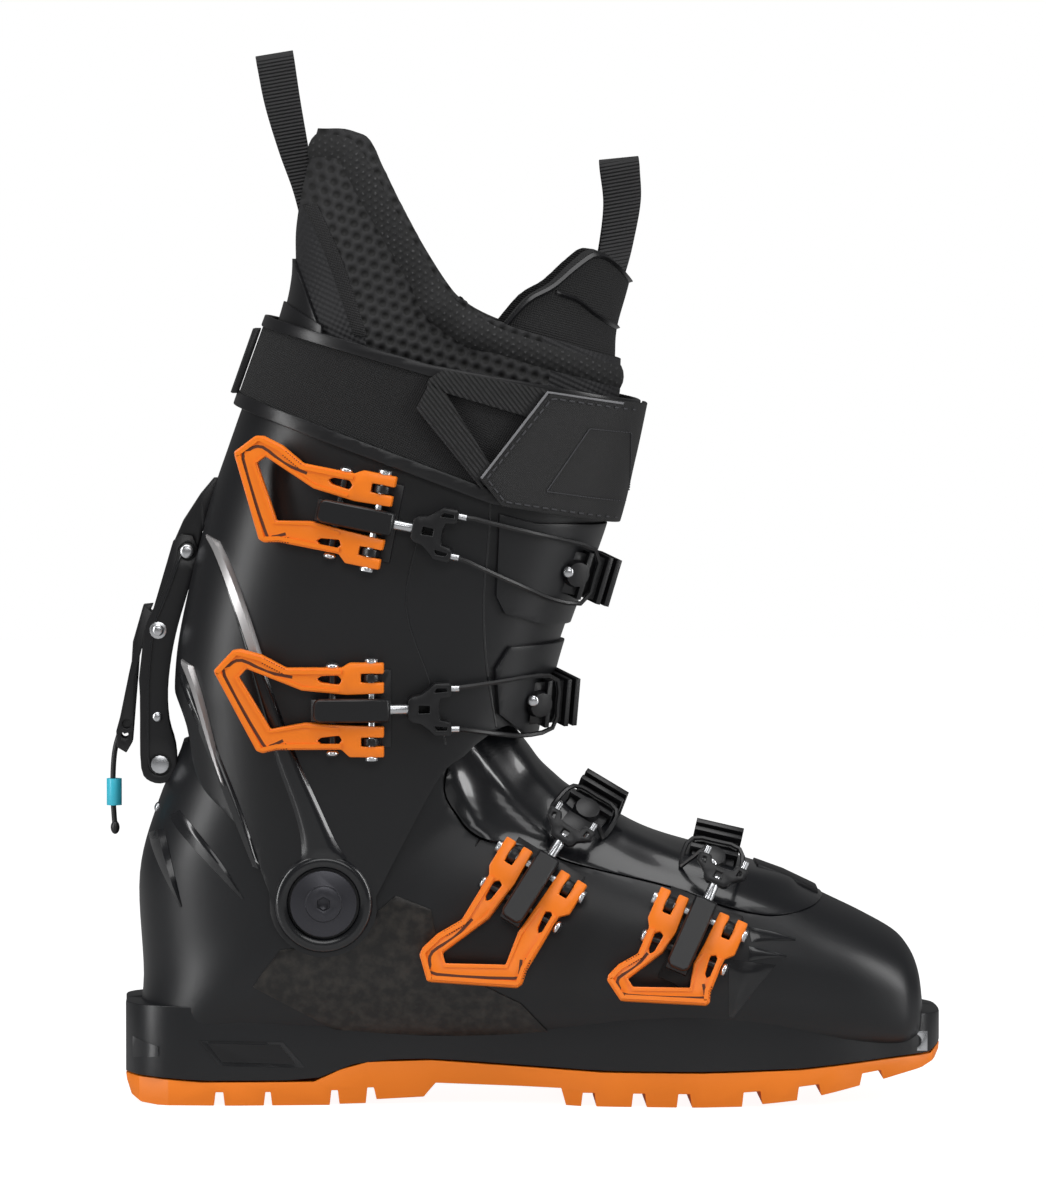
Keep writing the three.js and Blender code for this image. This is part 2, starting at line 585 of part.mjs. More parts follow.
// ---------------------------------------------------------------- strap, clip and grip tab
const STRAP_OUTLINE = [
  [-120, 299.6], [-101, 293.5], [-38.5, 275.7], [60, 257.8], [60, 212.4], [35.2, 216.1],
  [-16.2, 224.3], [-124, 264.6],
].map(([x, z]) => side(x, z));
const TAB_OUTLINE = [
  [5.4, 266], [60, 257.8], [58, 212.4], [35.2, 215.6], [-12.5, 223.6], [-20.6, 234],
].map(([x, z]) => side(x, z));
const TAB_END = 6;                      // the grip tab ends just past the shin line
const CLIP_HALF = 9;
const CLIP_THICKNESS = 2.4;

function strapLayer(low, high, outline, yLow, yHigh) {
  const layer = cuffLoft(high).subtract(cuffLoft(low));
  return layer.intersect(sidePlate(outline, yLow, yHigh));
}

function buildPowerStrap() {
  return strapLayer(FIT_GAP, FIT_GAP + STRAP_THICKNESS, STRAP_OUTLINE, -FAR, FAR);
}

function buildFingerTab() {
  const low = FIT_GAP * 2 + STRAP_THICKNESS;
  return strapLayer(low, low + TAB_THICKNESS, TAB_OUTLINE, -FAR, TAB_END);
}

function buildStrapClip() {
  const low = FIT_GAP * 2 + STRAP_THICKNESS;
  const outline = [[-130, 288], [-90, 288], [-90, 264], [-130, 264]].map(([x, z]) => side(x, z));
  return strapLayer(low, low + CLIP_THICKNESS, outline, -CLIP_HALF, CLIP_HALF);
}

// A folded webbing loop that stands up along its own +Z, folded edge on top.
function webbingLoop(height, spread) {
  const r = spread / 2;
  const outer = new THREE.Shape();
  outer.moveTo(r, 0);
  outer.lineTo(r, height - r);
  outer.absarc(0, height - r, r, 0, Math.PI, false);
  outer.lineTo(-r, 0);
  const inner = new THREE.Path();
  const ri = r - WEBBING_THICKNESS;
  inner.moveTo(-ri, WEBBING_THICKNESS);
  inner.lineTo(-ri, height - r);
  inner.absarc(0, height - r, ri, Math.PI, 0, true);
  inner.lineTo(ri, WEBBING_THICKNESS);
  outer.holes.push(inner);
  const options = { depth: WEBBING_WIDTH, bevelEnabled: false, curveSegments: 6 };
  const geometry = new THREE.ExtrudeGeometry(outer, options);
  geometry.rotateX(Math.PI / 2);
  geometry.rotateZ(Math.PI / 2);
  const box3 = new THREE.Box3().setFromBufferAttribute(geometry.attributes.position);
  geometry.translate(-(box3.min.x + box3.max.x) / 2, 0, 0);
  return solid(geometry);
}

const LOOP_SPREAD = 11;                 // across a pull loop, outside
const REAR_LOOP = { root: side(-86.5, 337), height: 55, lean: -9 };
const FRONT_LOOP = { root: side(31.5, 318.6), height: 34, lean: 2 };

// A loop stands on its root point; what would pass through the liner is trimmed off.
function pullLoop(name, { root, height, lean }) {
  const group = new THREE.Group();
  group.position.set(root[0], 0, root[1]);
  group.rotation.y = THREE.MathUtils.degToRad(lean);
  group.updateMatrixWorld(true);
  const body = webbingLoop(height, LOOP_SPREAD);
  const liner = linerBlock(-FIT_GAP, FIT_GAP);
  group.add(piece(name, body.subtract(toLocal(liner, group.matrixWorld)), FABRIC_BLACK));
  return group;
}

// ---------------------------------------------------------------- cuff pivots and walk lock
const BOLT_HEAD = { radius: 6.7, rise: 1.3, socket: 2.6 };
const WASHER_THICKNESS = 2;

// A disc on the cuff pivot between two distances from the middle plane, on one side of the boot.
function pivotDisc(sign, radius, from, to, sides) {
  const ends = [sign * from, sign * to];
  return sideDisc(PIVOT, radius, Math.min(...ends), Math.max(...ends), sides);
}

function buildPivotBolt(sign) {
  const start = SHELL_HALF - SHELL_WALL + RUN_GAP;
  const face = EAR_OUTSIDE + FIT_GAP;
  const top = face + WASHER_THICKNESS;
  const shank = pivotDisc(sign, PIVOT_BOLT_RADIUS, start, face + WASHER_THICKNESS / 4, 20);
  const washer = pivotDisc(sign, PIVOT_WASHER_RADIUS, face, top, 28);
  const head = pivotDisc(sign, BOLT_HEAD.radius, top - 0.1, top + BOLT_HEAD.rise, 20);
  const socket = pivotDisc(sign, BOLT_HEAD.socket, top - WASHER_THICKNESS / 2, top + FAR, 6);
  return cut(join(shank, washer, head), socket);
}

const BAR_OUTLINE = [
  [-144.6, 122], [-145.8, 135], [-147, 157.4], [-145.6, 170], [-142.3, 181], [-138.4, 194.4],
  [-134.4, 208], [-131, 211.5], [-127, 210.8], [-125, 206], [-127.4, 199], [-132.8, 186],
  [-135.4, 174], [-136.6, 162.7], [-137, 145], [-136, 133], [-133.6, 127], [-133.9, 122.5],
  [-138.5, 118.8], [-142.8, 119.4],
].map(([x, z]) => side(x, z));

function buildLockBar() {
  const inner = BAR_HALF_WIDTH - BAR_PLATE;
  const plates = sidePlate(BAR_OUTLINE, -BAR_HALF_WIDTH, BAR_HALF_WIDTH);
  const web = [[-160, 133], [-144, 133], [-145.2, 157], [-144, 166], [-160, 166]].map(([x, z]) => side(x, z));
  const hollow = box(-FAR, 0, -inner, inner, 0, FAR);
  const keep = sidePlate(web, -inner - 0.2, inner + 0.2).intersect(plates);
  const pins = [HEEL_PIVOT, RELEASE_PIVOT].map((at) => sideDisc(at, PIN_SHANK + FIT_GAP, -FAR, FAR, 12));
  return cut(join(plates.subtract(hollow), keep), ...pins);
}

const RIVET_LIP = 1.1;                  // how far a rivet head stands out round its shank
const RIVET_RISE = 1.3;

function buildBarPin(at, half) {
  const shank = sideDisc(at, PIN_SHANK, -half - RIVET_RISE / 2, half + RIVET_RISE / 2, 12);
  const left = sideDisc(at, PIN_SHANK + RIVET_LIP, -half - RIVET_RISE, -half, 14);
  const right = sideDisc(at, PIN_SHANK + RIVET_LIP, half, half + RIVET_RISE, 14);
  return join(shank, left, right);
}

// The upper pin runs only between the side plates, so the plates can slide past it.
function buildTopPin() {
  const half = BAR_HALF_WIDTH - BAR_PLATE - FIT_GAP;
  return sideDisc(BAR_TOP, PIN_SHANK, -half, half, 12);
}

// The bracket hangs from the cuff above the notch and holds the upper pin between the bar plates.
function buildCuffBracket() {
  const half = BAR_HALF_WIDTH - BAR_PLATE - RUN_GAP;
  const outline = [
    [-133.4, 203], [-131, 199.6], [-127, 199.6], [-124.4, 203], [-123.2, 212.4], [-118.5, 216],
    [-112, 232], [-119, 232], [-124, 226], [-130.5, 216], [-133.6, 209],
  ].map(([x, z]) => side(x, z));
  const plate = sidePlate(outline, -half, half);
  const pin = sideDisc(BAR_TOP, PIN_SHANK + FIT_GAP, -FAR, FAR, 12);
  const cuff = cuffLoft(FIT_GAP).subtract(rearNotch(NOTCH_TOP - FIT_GAP));
  return cut(plate, cuff, pin);
}

const CORD_EYE = side(-151.6, 140.4);   // hole for the pull cord in the end of the release lever

function buildReleaseLever() {
  const half = BAR_HALF_WIDTH - BAR_PLATE - RUN_GAP;
  const outline = [
    [-135.6, 177.6], [-137.6, 179.8], [-141.4, 181.6], [-145, 184.4], [-150.6, 160], [-154.8, 139.6],
    [-152.6, 136.6], [-149.4, 137.6], [-148.9, 157], [-146, 168.4], [-142.6, 171.4], [-137.6, 171.6],
    [-135.6, 173.8],
  ].map(([x, z]) => side(x, z));
  const eye = sideDisc(CORD_EYE, CORD_RADIUS * 1.9, -FAR, FAR, 10);
  const pin = sideDisc(RELEASE_PIVOT, PIN_SHANK + FIT_GAP, -FAR, FAR, 12);
  return cut(sidePlate(outline, -half, half), pin, eye);
}

function buildPullCord() {
  const [x, z] = CORD_EYE;
  const points = [
    new THREE.Vector3(x - 3.6, 0, z - 6), new THREE.Vector3(x - 4.8, 0, z - 11),
    new THREE.Vector3(x - 5, 0, z - 22), new THREE.Vector3(x - 4.4, 0, z - 40),
  ];
  return tube(points, CORD_RADIUS, 12);
}

function buildBead() {
  const [x, z] = CORD_EYE;
  const bead = new THREE.CylinderGeometry(BEAD_RADIUS, BEAD_RADIUS, BEAD_LENGTH, SEGMENTS);
  const hole = new THREE.CylinderGeometry(CORD_RADIUS * 1.5, CORD_RADIUS * 1.5, BEAD_LENGTH * 2, 8);
  for (const shape of [bead, hole]) {
    shape.rotateX(Math.PI / 2);
    shape.translate(x - 4.9, 0, z - 26);
  }
  return solid(bead).subtract(solid(hole));
}

// ---------------------------------------------------------------- buckles
// A buckle is drawn in its own frame: +X pulls towards the catch, +Y lies in the shell surface,
// +Z points away from the shell, and the origin is on the lever hinge pin.
const LINK_SETBACK = 14.4;        // hinge pin to link pin
const ARM_OUTER = 17.4;           // half width over the lever arms
const ARM_INNER = 6.2;            // half width between the lever arms
const FORK_CENTRE = 11.8;         // middle of the fork slot in each arm
const EAR_THICKNESS = 2.6;        // base ear that stands in the fork
const FRONT_REACH = 4.6;          // lever ahead of the hinge pin
const BASE_DROP = 6.7;            // hinge pin to the shell surface
const BASE_PLATE = 1;
const ROOT_DEPTH = 9;             // how deep base and catch are drawn before the skin trims them
const RIVET_OVERHANG = 1.1;       // height of the small rivet heads on the lever arms

function leverOutline(reach) {
  const fork = EAR_THICKNESS / 2 + FIT_GAP;
  const half = (sign) => [
    [FRONT_REACH, sign * (FORK_CENTRE + fork)], [-3.8, sign * (FORK_CENTRE + fork)],
    [-3.8, sign * (FORK_CENTRE - fork)], [FRONT_REACH, sign * (FORK_CENTRE - fork)],
  ];
  const upper = [
    [FRONT_REACH, ARM_INNER], ...half(1).reverse(), [FRONT_REACH, ARM_OUTER],
    [-8, ARM_OUTER], [-11, ARM_OUTER - 1.8], [-reach * 0.54, ARM_OUTER - 1.9],
    [-reach * 0.7, ARM_OUTER + 3], [-reach * 0.83, ARM_OUTER + 5], [-reach * 0.88, ARM_OUTER + 4.6],
    [-reach, ARM_OUTER - 2.8], [-reach * 0.99, ARM_OUTER - 4.4],
  ];
  const lower = [
    [-reach * 0.73, -ARM_OUTER + 2.2], [-reach * 0.69, -ARM_OUTER + 1.4], [-reach * 0.6, -ARM_OUTER + 2.6],
    [-11, -ARM_OUTER + 2.8], [-8, -ARM_OUTER], [FRONT_REACH, -ARM_OUTER], ...half(-1),
    [FRONT_REACH, -ARM_INNER],
  ];
  const inside = [
    [-9, -ARM_INNER + 0.6], [-reach * 0.42, -ARM_INNER + 1.4], [-reach * 0.64, -ARM_INNER - 1],
    [-reach * 0.84, ARM_INNER + 6], [-reach * 0.79, ARM_INNER + 9], [-reach * 0.44, ARM_INNER + 1],
    [-9, ARM_INNER - 0.6],
  ];
  return [...upper, ...lower, ...inside];
}

function alongPin(radius, low, high, u, sides = 8) {
  const geometry = new THREE.CylinderGeometry(radius, radius, high - low, sides);
  geometry.translate(u, (low + high) / 2, 0);
  return solid(geometry);
}

function buildLever(reach) {
  const shape = new THREE.Shape(leverOutline(reach).map(([u, v]) => new THREE.Vector2(u, v)));
  for (const sign of [-1, 1]) {
    const slot = [[-18.5, 10.2], [-11.8, 9.4], [-10.8, 11.2], [-12.2, 12.8], [-18.4, 12.6], [-20, 11.4]];
    shape.holes.push(new THREE.Path(slot.map(([u, v]) => new THREE.Vector2(u, sign * v))));
  }
  const geometry = new THREE.ExtrudeGeometry(shape, { depth: LEVER_THICKNESS, bevelEnabled: false });
  geometry.translate(0, 0, -LEVER_THICKNESS / 2);
  const bore = (PIN_RADIUS + FIT_GAP) / Math.cos(Math.PI / 6);
  return cut(solid(geometry), alongPin(bore, -FAR, FAR, 0, 6), alongPin(bore, -FAR, FAR, -LINK_SETBACK, 6));
}

function buildBasePin() {
  const end = ARM_OUTER + FIT_GAP;
  const head = end + RIVET_OVERHANG;
  const shank = alongPin(PIN_RADIUS, -end - RIVET_OVERHANG / 3, end + RIVET_OVERHANG / 3, 0);
  return join(shank, alongPin(2.5, -head, -end, 0, 10), alongPin(2.5, end, head, 0, 10));
}

function buildBase(localSkin) {
  const ears = [-1, 1].map((sign) => {
    const y0 = sign * FORK_CENTRE - EAR_THICKNESS / 2;
    const stem = box(-3, 3, y0, y0 + EAR_THICKNESS, -BASE_DROP - ROOT_DEPTH / 2, 0);
    const eye = alongPin(3, y0, y0 + EAR_THICKNESS, 0, 12);
    return cut(join(stem, eye), alongPin(PIN_RADIUS + FIT_GAP, -FAR, FAR, 0));
  });
  const top = -BASE_DROP + BASE_PLATE;
  const plate = box(-26, 7, -FORK_CENTRE + 6, FORK_CENTRE - 6, -BASE_DROP - ROOT_DEPTH, top);
  const cross = box(-3.4, 7, -ARM_OUTER + 3, ARM_OUTER - 3, -BASE_DROP - ROOT_DEPTH, top);
  return cut(join(plate, cross, ...ears), localSkin);
}

// The block, the bolt and the yoke are drawn about the link pin, along the pull of the cable.
const BLOCK_HIGH = 6.8;
const BLOCK_REACH = 20.6;
const BLOCK_FRONT_LOW = -0.2;
const BOLT_HEIGHT = (BLOCK_FRONT_LOW + BLOCK_HIGH) / 2;
const BOLT_DEPTH = 3.2;

// The underside of the block is notched over the hinge pin.
function buildBlock(dip) {
  const half = BLOCK_WIDTH / 2;
  const room = PIN_RADIUS + 1.1;
  const pinTop = (PIN_RADIUS + RUN_GAP) / Math.cos(dip) + LINK_SETBACK * Math.tan(dip);
  const profile = [
    [-7.6, -2.4], [LINK_SETBACK - room, -2.4], [LINK_SETBACK - room, pinTop],
    [LINK_SETBACK + room, pinTop], [LINK_SETBACK + room, BLOCK_FRONT_LOW],
    [BLOCK_REACH, BLOCK_FRONT_LOW], [BLOCK_REACH, BLOCK_HIGH], [LINK_SETBACK - 3, BLOCK_HIGH],
    [-5, BLOCK_HIGH - 2.2], [-8.2, BLOCK_HIGH - 5.4],
  ];
  const end = ARM_OUTER + FIT_GAP - 1.6;
  const body = join(
    sidePlate(profile, -half, half),
    alongPin(PIN_RADIUS, -end - RIVET_OVERHANG / 3, end + RIVET_OVERHANG / 3, 0),
    alongPin(2.2, -end - RIVET_OVERHANG, -end, 0, 10),
    alongPin(2.2, end, end + RIVET_OVERHANG, 0, 10),
  );
  return cut(body, boltSolid(BOLT_RADIUS + FIT_GAP, BLOCK_REACH - BOLT_DEPTH, BLOCK_REACH + FAR));
}

function boltSolid(radius, from, to) {
  const geometry = new THREE.CylinderGeometry(radius, radius, to - from, 14);
  geometry.rotateZ(Math.PI / 2);
  geometry.translate((from + to) / 2, 0, BOLT_HEIGHT);
  return solid(geometry);
}

const YOKE_THICKNESS = 4.4;
const YOKE_START = BLOCK_REACH + 7.4;   // the yoke begins here, measured from the link pin
const BOLT_END = BLOCK_REACH + 10;

function buildYoke(yokeLength) {
  const start = YOKE_START;
  const end = start + yokeLength;
  const knee = start + yokeLength * 0.5;
  const half = [
    [start, 4], [start + yokeLength * 0.18, 5.4], [knee + 1, 9.4], [end, 9.6], [end, 5.2],
    [knee + 1.6, 5], [knee - 1, 1.6],
  ];
  const points = [...half.map(([u, v]) => [u, -v]), ...[...half].reverse()];
  const shape = new THREE.Shape(points.map(([u, v]) => new THREE.Vector2(u, v)));
  const geometry = new THREE.ExtrudeGeometry(shape, { depth: YOKE_THICKNESS, bevelEnabled: false });
  geometry.translate(0, 0, BOLT_HEIGHT - YOKE_THICKNESS / 2);
  return cut(solid(geometry), boltSolid(BOLT_RADIUS + FIT_GAP, start - 4, BOLT_END + FIT_GAP));
}

const CATCH_HALF = 9;
const CATCH_GROOVE = 6.8;
const RIDGES = [[1.4, 3.2, 4.4], [9.6, 11.4, 4.8], [13.2, 15.2, 4.8]];   // from, to, height
const CABLE_HEIGHT = 3.6;               // cable above the seat of the catch

function buildCatch(localSkin) {
  const base = box(-13, 15.5, -CATCH_HALF + 1, CATCH_HALF - 1, -16, 2);
  const hook = box(-13, -6.6, -5, 5, 1.5, 5);
  const boss = new THREE.CylinderGeometry(4.6, 5.4, 3.4, 14);
  boss.rotateX(Math.PI / 2);
  boss.translate(-1, 0, 3.2);
  const ridges = RIDGES.map(([u0, u1, top]) => box(u0, u1, -CATCH_HALF, CATCH_HALF, -12, top));
  return cut(join(base, hook, solid(boss), ...ridges), localSkin);
}

// One side of the cable over the catch, up to where it crosses in the groove.
function catchRoute(lift) {
  const edge = CATCH_HALF + 1.6;
  return [
    [-9, edge + 0.6, lift + 0.6], [1, edge + 0.4, lift], [5, edge - 0.8, lift],
    [CATCH_GROOVE, CATCH_HALF - 2.2, lift],
  ];
}

// Origin on the surface at a side-view point, its pull direction and its outward normal.
function surfaceFrame(target, at, angle, back, ahead, across) {
  const c = Math.cos(angle);
  const s = Math.sin(angle);
  const probe = (u, v) => lateralPoint(target, [at[0] + c * u - s * v, at[1] + s * u + c * v]);
  const origin = probe(0, 0);
  const along = probe(ahead, 0).sub(probe(back, 0));
  const over = probe(0, across).sub(probe(0, -across));
  const outward = new THREE.Vector3().crossVectors(along, over).normalize();
  return { origin, along: along.normalize(), outward };
}

const CATCH_TILT = THREE.MathUtils.degToRad(35);   // most a catch leans from its lever
const MOST_DIP = THREE.MathUtils.degToRad(12);     // most a block leans towards the shell
const YOKE_CLEARANCE = 1.4;                        // yoke to shell
const FERRULE_GAP = 0.5;                           // yoke to the start of the cable
const CABLE_REST = 1.5;                            // extra height of a cable over the shell
const LONGEST_CABLE_STEP = 6.5;

// Hinge position and pull angle in the side view, lever length, catch position, yoke length, and
// the stretch of shell the lever lies along.
const BUCKLES = [
  {
    name: 'upper', body: 'cuff', at: [-57.8, 218.3], angle: -11.3, reach: 56.5,
    catchAt: [13.5, 198.6], yoke: 15.5, back: -40, ahead: 6, rests: [0.35, 0.7],
  },
  {
    name: 'lower', body: 'cuff', at: [-60.2, 148.9], angle: 0, reach: 58,
    catchAt: [-0.5, 150.5], yoke: 15.5, back: -40, ahead: 6, rests: [0.35, 0.7],
  },
  {
    name: 'instep', body: 'shell', at: [2.7, 87], angle: 58, reach: 56.5,
    catchAt: [19.6, 107.4], yoke: 9, back: -42, ahead: 8, rests: [0.6],
  },
  {
    name: 'toe', body: 'shell', at: [61.1, 70.5], angle: 66, reach: 40,
    catchAt: [66.5, 89.5], yoke: 9, back: -30, ahead: 8, rests: [0.5, 0.85],
  },
];

function leverSeat(spec, skinMesh) {
  const angle = THREE.MathUtils.degToRad(spec.angle);
  const seat = surfaceFrame(skinMesh, side(...spec.at), angle, spec.back, spec.ahead, 9);
  const origin = seat.origin.clone().addScaledVector(seat.outward, BASE_DROP);
  return { origin, outward: seat.outward, matrix: frameMatrix(origin, seat.along, seat.outward) };
}

// The catch lies on the shell but leans no more than CATCH_TILT from its lever.
function catchSeat(spec, skinMesh, seat, lift) {
  const angle = THREE.MathUtils.degToRad(spec.angle);
  const place = surfaceFrame(skinMesh, side(...spec.catchAt), angle, -2.5, 1, 2.5);
  const share = Math.min(1, CATCH_TILT / place.outward.angleTo(seat.outward));
  const normal = seat.outward.clone().lerp(place.outward, share).normalize();
  const origin = place.origin.clone().addScaledVector(place.outward, lift + FIT_GAP);
  const pull = origin.clone().sub(seat.origin);
  return frameMatrix(origin, pull.addScaledVector(normal, -pull.dot(normal)), normal);
}

// How far the block leans towards the shell so that the yoke lies close over it.
function linkDip(spec, skinMesh, seat) {
  const angle = THREE.MathUtils.degToRad(spec.angle);
  const [x, z] = side(...spec.at);
  const end = YOKE_START + spec.yoke;
  const reach = end - LINK_SETBACK;
  const under = lateralPoint(skinMesh, [x + Math.cos(angle) * reach, z + Math.sin(angle) * reach]);
  under.applyMatrix4(seat.matrix.clone().invert());
  const drop = BOLT_HEIGHT - YOKE_THICKNESS / 2 - (under.z + YOKE_CLEARANCE);
  return Math.min(MOST_DIP, Math.asin(Math.min(1, drop / end)));
}

// The cable runs from one leg of the yoke round the catch and back to the other leg.
function cablePath(spec, skinMesh, lift, linkMatrix, catchMatrix) {
  const toLink = linkMatrix.clone().invert();
  const start = YOKE_START + spec.yoke + FERRULE_GAP;
  const clear = (p) => {
    const floor = lateralPoint(skinMesh, [p.x, p.z]);
    if (floor === null) return p;
    p.y = Math.min(p.y, floor.y - lift - CABLE_RADIUS - RUN_GAP - CABLE_REST);
    return p;
  };
  const route = (sign) => {
    const place = ([u, v, n], matrix) => new THREE.Vector3(u, sign * v, n).applyMatrix4(matrix);
    const ends = [[start, 7.4, BOLT_HEIGHT], [start + 3, 7.7, BOLT_HEIGHT]];
    const leaving = ends.map((end) => place(end, linkMatrix));
    const last = catchRoute(CABLE_HEIGHT).map((end) => place(end, catchMatrix));
    last.slice(0, 2).forEach(clear);
    const between = spec.rests.map((share) => clear(leaving[1].clone().lerp(last[0], share)));
    return [...leaving, ...between, ...last].map((p) => p.applyMatrix4(toLink));
  };
  const crossing = new THREE.Vector3(CATCH_GROOVE, 0, CABLE_HEIGHT);
  crossing.applyMatrix4(catchMatrix).applyMatrix4(toLink);
  return [...route(1), crossing, ...route(-1).reverse()];
}

// A long cable has more steps, so that it stays as round where it bends.
function cableSteps(path) {
  const length = path.slice(1).reduce((sum, p, i) => sum + p.distanceTo(path[i]), 0);
  return Math.max(24, 2 * Math.ceil(length / LONGEST_CABLE_STEP / 2));
}

function buildBuckle(spec, skinMesh, skinSolid, padSolid) {
  const lift = spec.body === 'cuff' ? PAD_RISE : 0;
  const seat = leverSeat(spec, skinMesh);
  const catchMatrix = catchSeat(spec, skinMesh, seat, lift);
  const frame = new THREE.Group();
  frame.applyMatrix4(seat.matrix);
  const hold = new THREE.Group();
  hold.applyMatrix4(catchMatrix);
  const dip = linkDip(spec, skinMesh, seat);
  const link = new THREE.Group();
  link.position.set(-LINK_SETBACK, 0, 0);
  link.rotation.y = dip;
  frame.add(link);
  frame.updateMatrixWorld(true);
  const path = cablePath(spec, skinMesh, lift, link.matrixWorld, catchMatrix);
  const bolt = boltSolid(BOLT_RADIUS, BLOCK_REACH - BOLT_DEPTH + FIT_GAP, BOLT_END);

  frame.add(piece(`${spec.name}_base`, buildBase(toLocal(skinSolid, seat.matrix)), TRIM_BLACK));
  frame.add(piece(`${spec.name}_lever`, buildLever(spec.reach), LEVER_ORANGE));
  frame.add(piece(`${spec.name}_base_pin`, buildBasePin(), STEEL));
  link.add(piece(`${spec.name}_block`, buildBlock(dip), TRIM_BLACK));
  link.add(piece(`${spec.name}_bolt`, bolt, STEEL));
  link.add(piece(`${spec.name}_yoke`, buildYoke(spec.yoke), TRIM_BLACK));
  link.add(piece(`${spec.name}_cable`, tube(path, CABLE_RADIUS, cableSteps(path), 6), TRIM_BLACK));
  hold.add(piece(`${spec.name}_catch`, buildCatch(toLocal(padSolid, catchMatrix)), TRIM_BLACK));
  return [frame, hold];
}

// ---------------------------------------------------------------- assembly
const boot = new THREE.Group();
boot.add(piece('lower_shell', buildLowerShell(), SHELL_BLACK));
boot.add(piece('outsole', buildOutsole(), SOLE_ORANGE));
boot.add(piece('toe_insert', buildToeInsert(), STEEL));
boot.add(piece('heel_insert', buildHeelInsert(), STEEL));
boot.add(piece('instep_flap', buildFlap(), GLOSS_BLACK));
boot.add(piece('flap_anchor', buildFlapAnchor(), TRIM_BLACK));
boot.add(piece('boot_board', buildBootBoard(), FOAM_GREY));
boot.add(piece('liner_foot', buildLinerFoot(), FABRIC_BLACK));
boot.add(piece('footbed', buildFootbed(), FOAM_GREY));
boot.add(piece('cuff_shell', buildCuff(), SHELL_BLACK));
boot.add(piece('liner_cuff', buildLinerCuff(), FABRIC_BLACK));
boot.add(piece('power_strap', buildPowerStrap(), FABRIC_BLACK));
boot.add(piece('finger_tab', buildFingerTab(), TRIM_BLACK));
boot.add(piece('strap_clip', buildStrapClip(), TRIM_BLACK));
boot.add(piece('pivot_bolt_lateral', buildPivotBolt(-1), TRIM_BLACK));
boot.add(piece('pivot_bolt_medial', buildPivotBolt(1), TRIM_BLACK));
boot.add(piece('cuff_bracket', buildCuffBracket(), TRIM_BLACK));
boot.add(piece('lock_bar', buildLockBar(), TRIM_BLACK));
boot.add(piece('bar_top_pin', buildTopPin(), STEEL));
boot.add(piece('bar_heel_pin', buildBarPin(HEEL_PIVOT, BAR_HALF_WIDTH + FIT_GAP), STEEL));
boot.add(piece('release_lever', buildReleaseLever(), TRIM_BLACK));
boot.add(piece('release_pin', buildBarPin(RELEASE_PIVOT, BAR_HALF_WIDTH + FIT_GAP), STEEL));
boot.add(piece('pull_cord', buildPullCord(), TRIM_BLACK));
boot.add(piece('cord_bead', buildBead(), BEAD_CYAN));

boot.add(pullLoop('rear_pull_loop', REAR_LOOP));
boot.add(pullLoop('front_pull_loop', FRONT_LOOP));

const shellSkin = shellLoft(FIT_GAP);
const cuffSkin = cuffLoft(FIT_GAP);
const padSkin = cuffLoft(PAD_RISE + FIT_GAP);
const skins = {
  shell: { mesh: new THREE.Mesh(geometryOf(shellLoft(0))), skin: shellSkin, pad: shellSkin },
  cuff: { mesh: new THREE.Mesh(geometryOf(cuffLoft(0))), skin: cuffSkin, pad: padSkin },
};
for (const spec of BUCKLES) {
  const { mesh, skin, pad } = skins[spec.body];
  boot.add(...buildBuckle(spec, mesh, skin, pad));
}

// The origin moves to the middle of the sole, under the whole boot; the hanging cord is left out.
const extent = new THREE.Box3();
boot.updateMatrixWorld(true);
boot.traverse((node) => {
  const hanging = node.name === 'pull_cord' || node.name === 'cord_bead';
  if (node.isMesh && !hanging) extent.expandByObject(node, true);
});
const middle = extent.getCenter(new THREE.Vector3());
boot.position.set(-middle.x, -middle.y, -extent.min.z);

export default boot;
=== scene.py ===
# %% [markdown]
# # A ski touring boot
# The boot is built up as its maker would: sole and lower shell first, then the cuff, the liner,
# the strap, the walk lock and last the four buckles. Every piece is a mesh in the frame's own
# place, so that the joints of the frame carry it.

import json
import math

import bmesh
import bpy
import numpy as np
from mathutils import Matrix, Vector
from mathutils.bvhtree import BVHTree
from mathutils.geometry import intersect_point_line


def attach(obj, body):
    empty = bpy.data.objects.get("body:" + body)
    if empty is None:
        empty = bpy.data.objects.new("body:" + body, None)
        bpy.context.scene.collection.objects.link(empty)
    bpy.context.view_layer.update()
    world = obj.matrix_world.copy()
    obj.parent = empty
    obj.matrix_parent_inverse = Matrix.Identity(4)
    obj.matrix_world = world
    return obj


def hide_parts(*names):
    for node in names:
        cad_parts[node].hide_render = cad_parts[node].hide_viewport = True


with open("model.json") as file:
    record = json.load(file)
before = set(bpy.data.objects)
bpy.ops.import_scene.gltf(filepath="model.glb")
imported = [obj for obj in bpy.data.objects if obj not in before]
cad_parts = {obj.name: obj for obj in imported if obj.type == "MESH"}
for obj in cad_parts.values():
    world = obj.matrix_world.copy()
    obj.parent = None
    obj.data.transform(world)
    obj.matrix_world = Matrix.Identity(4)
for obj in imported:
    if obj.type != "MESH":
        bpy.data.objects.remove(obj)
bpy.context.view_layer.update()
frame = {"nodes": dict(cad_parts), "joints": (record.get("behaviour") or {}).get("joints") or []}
JOINTS = {joint["name"]: joint for joint in frame["joints"]}

# %% [markdown]
# Sizes below are in millimetres and drawn about the boot's own middle line. The cuff pivot, whose
# place the frame gives, ties that drawing to the frame.

# %% Ties between the drawing and the frame
MM = 0.001
PIVOT_XZ = (-78.3, 76.6)
PIVOT = Vector(JOINTS["cuff_pivot"]["pos_m"])
SHIFT = PIVOT - Vector((PIVOT_XZ[0], 0, PIVOT_XZ[1])) * MM


def at(x, y, z):
    return Vector((x, y, z)) * MM + SHIFT


# %% [markdown]
# The camera stands level with the middle of the boot, a long way off with a long lens, on the
# lateral side. A pale floor and big soft lights do the rest.

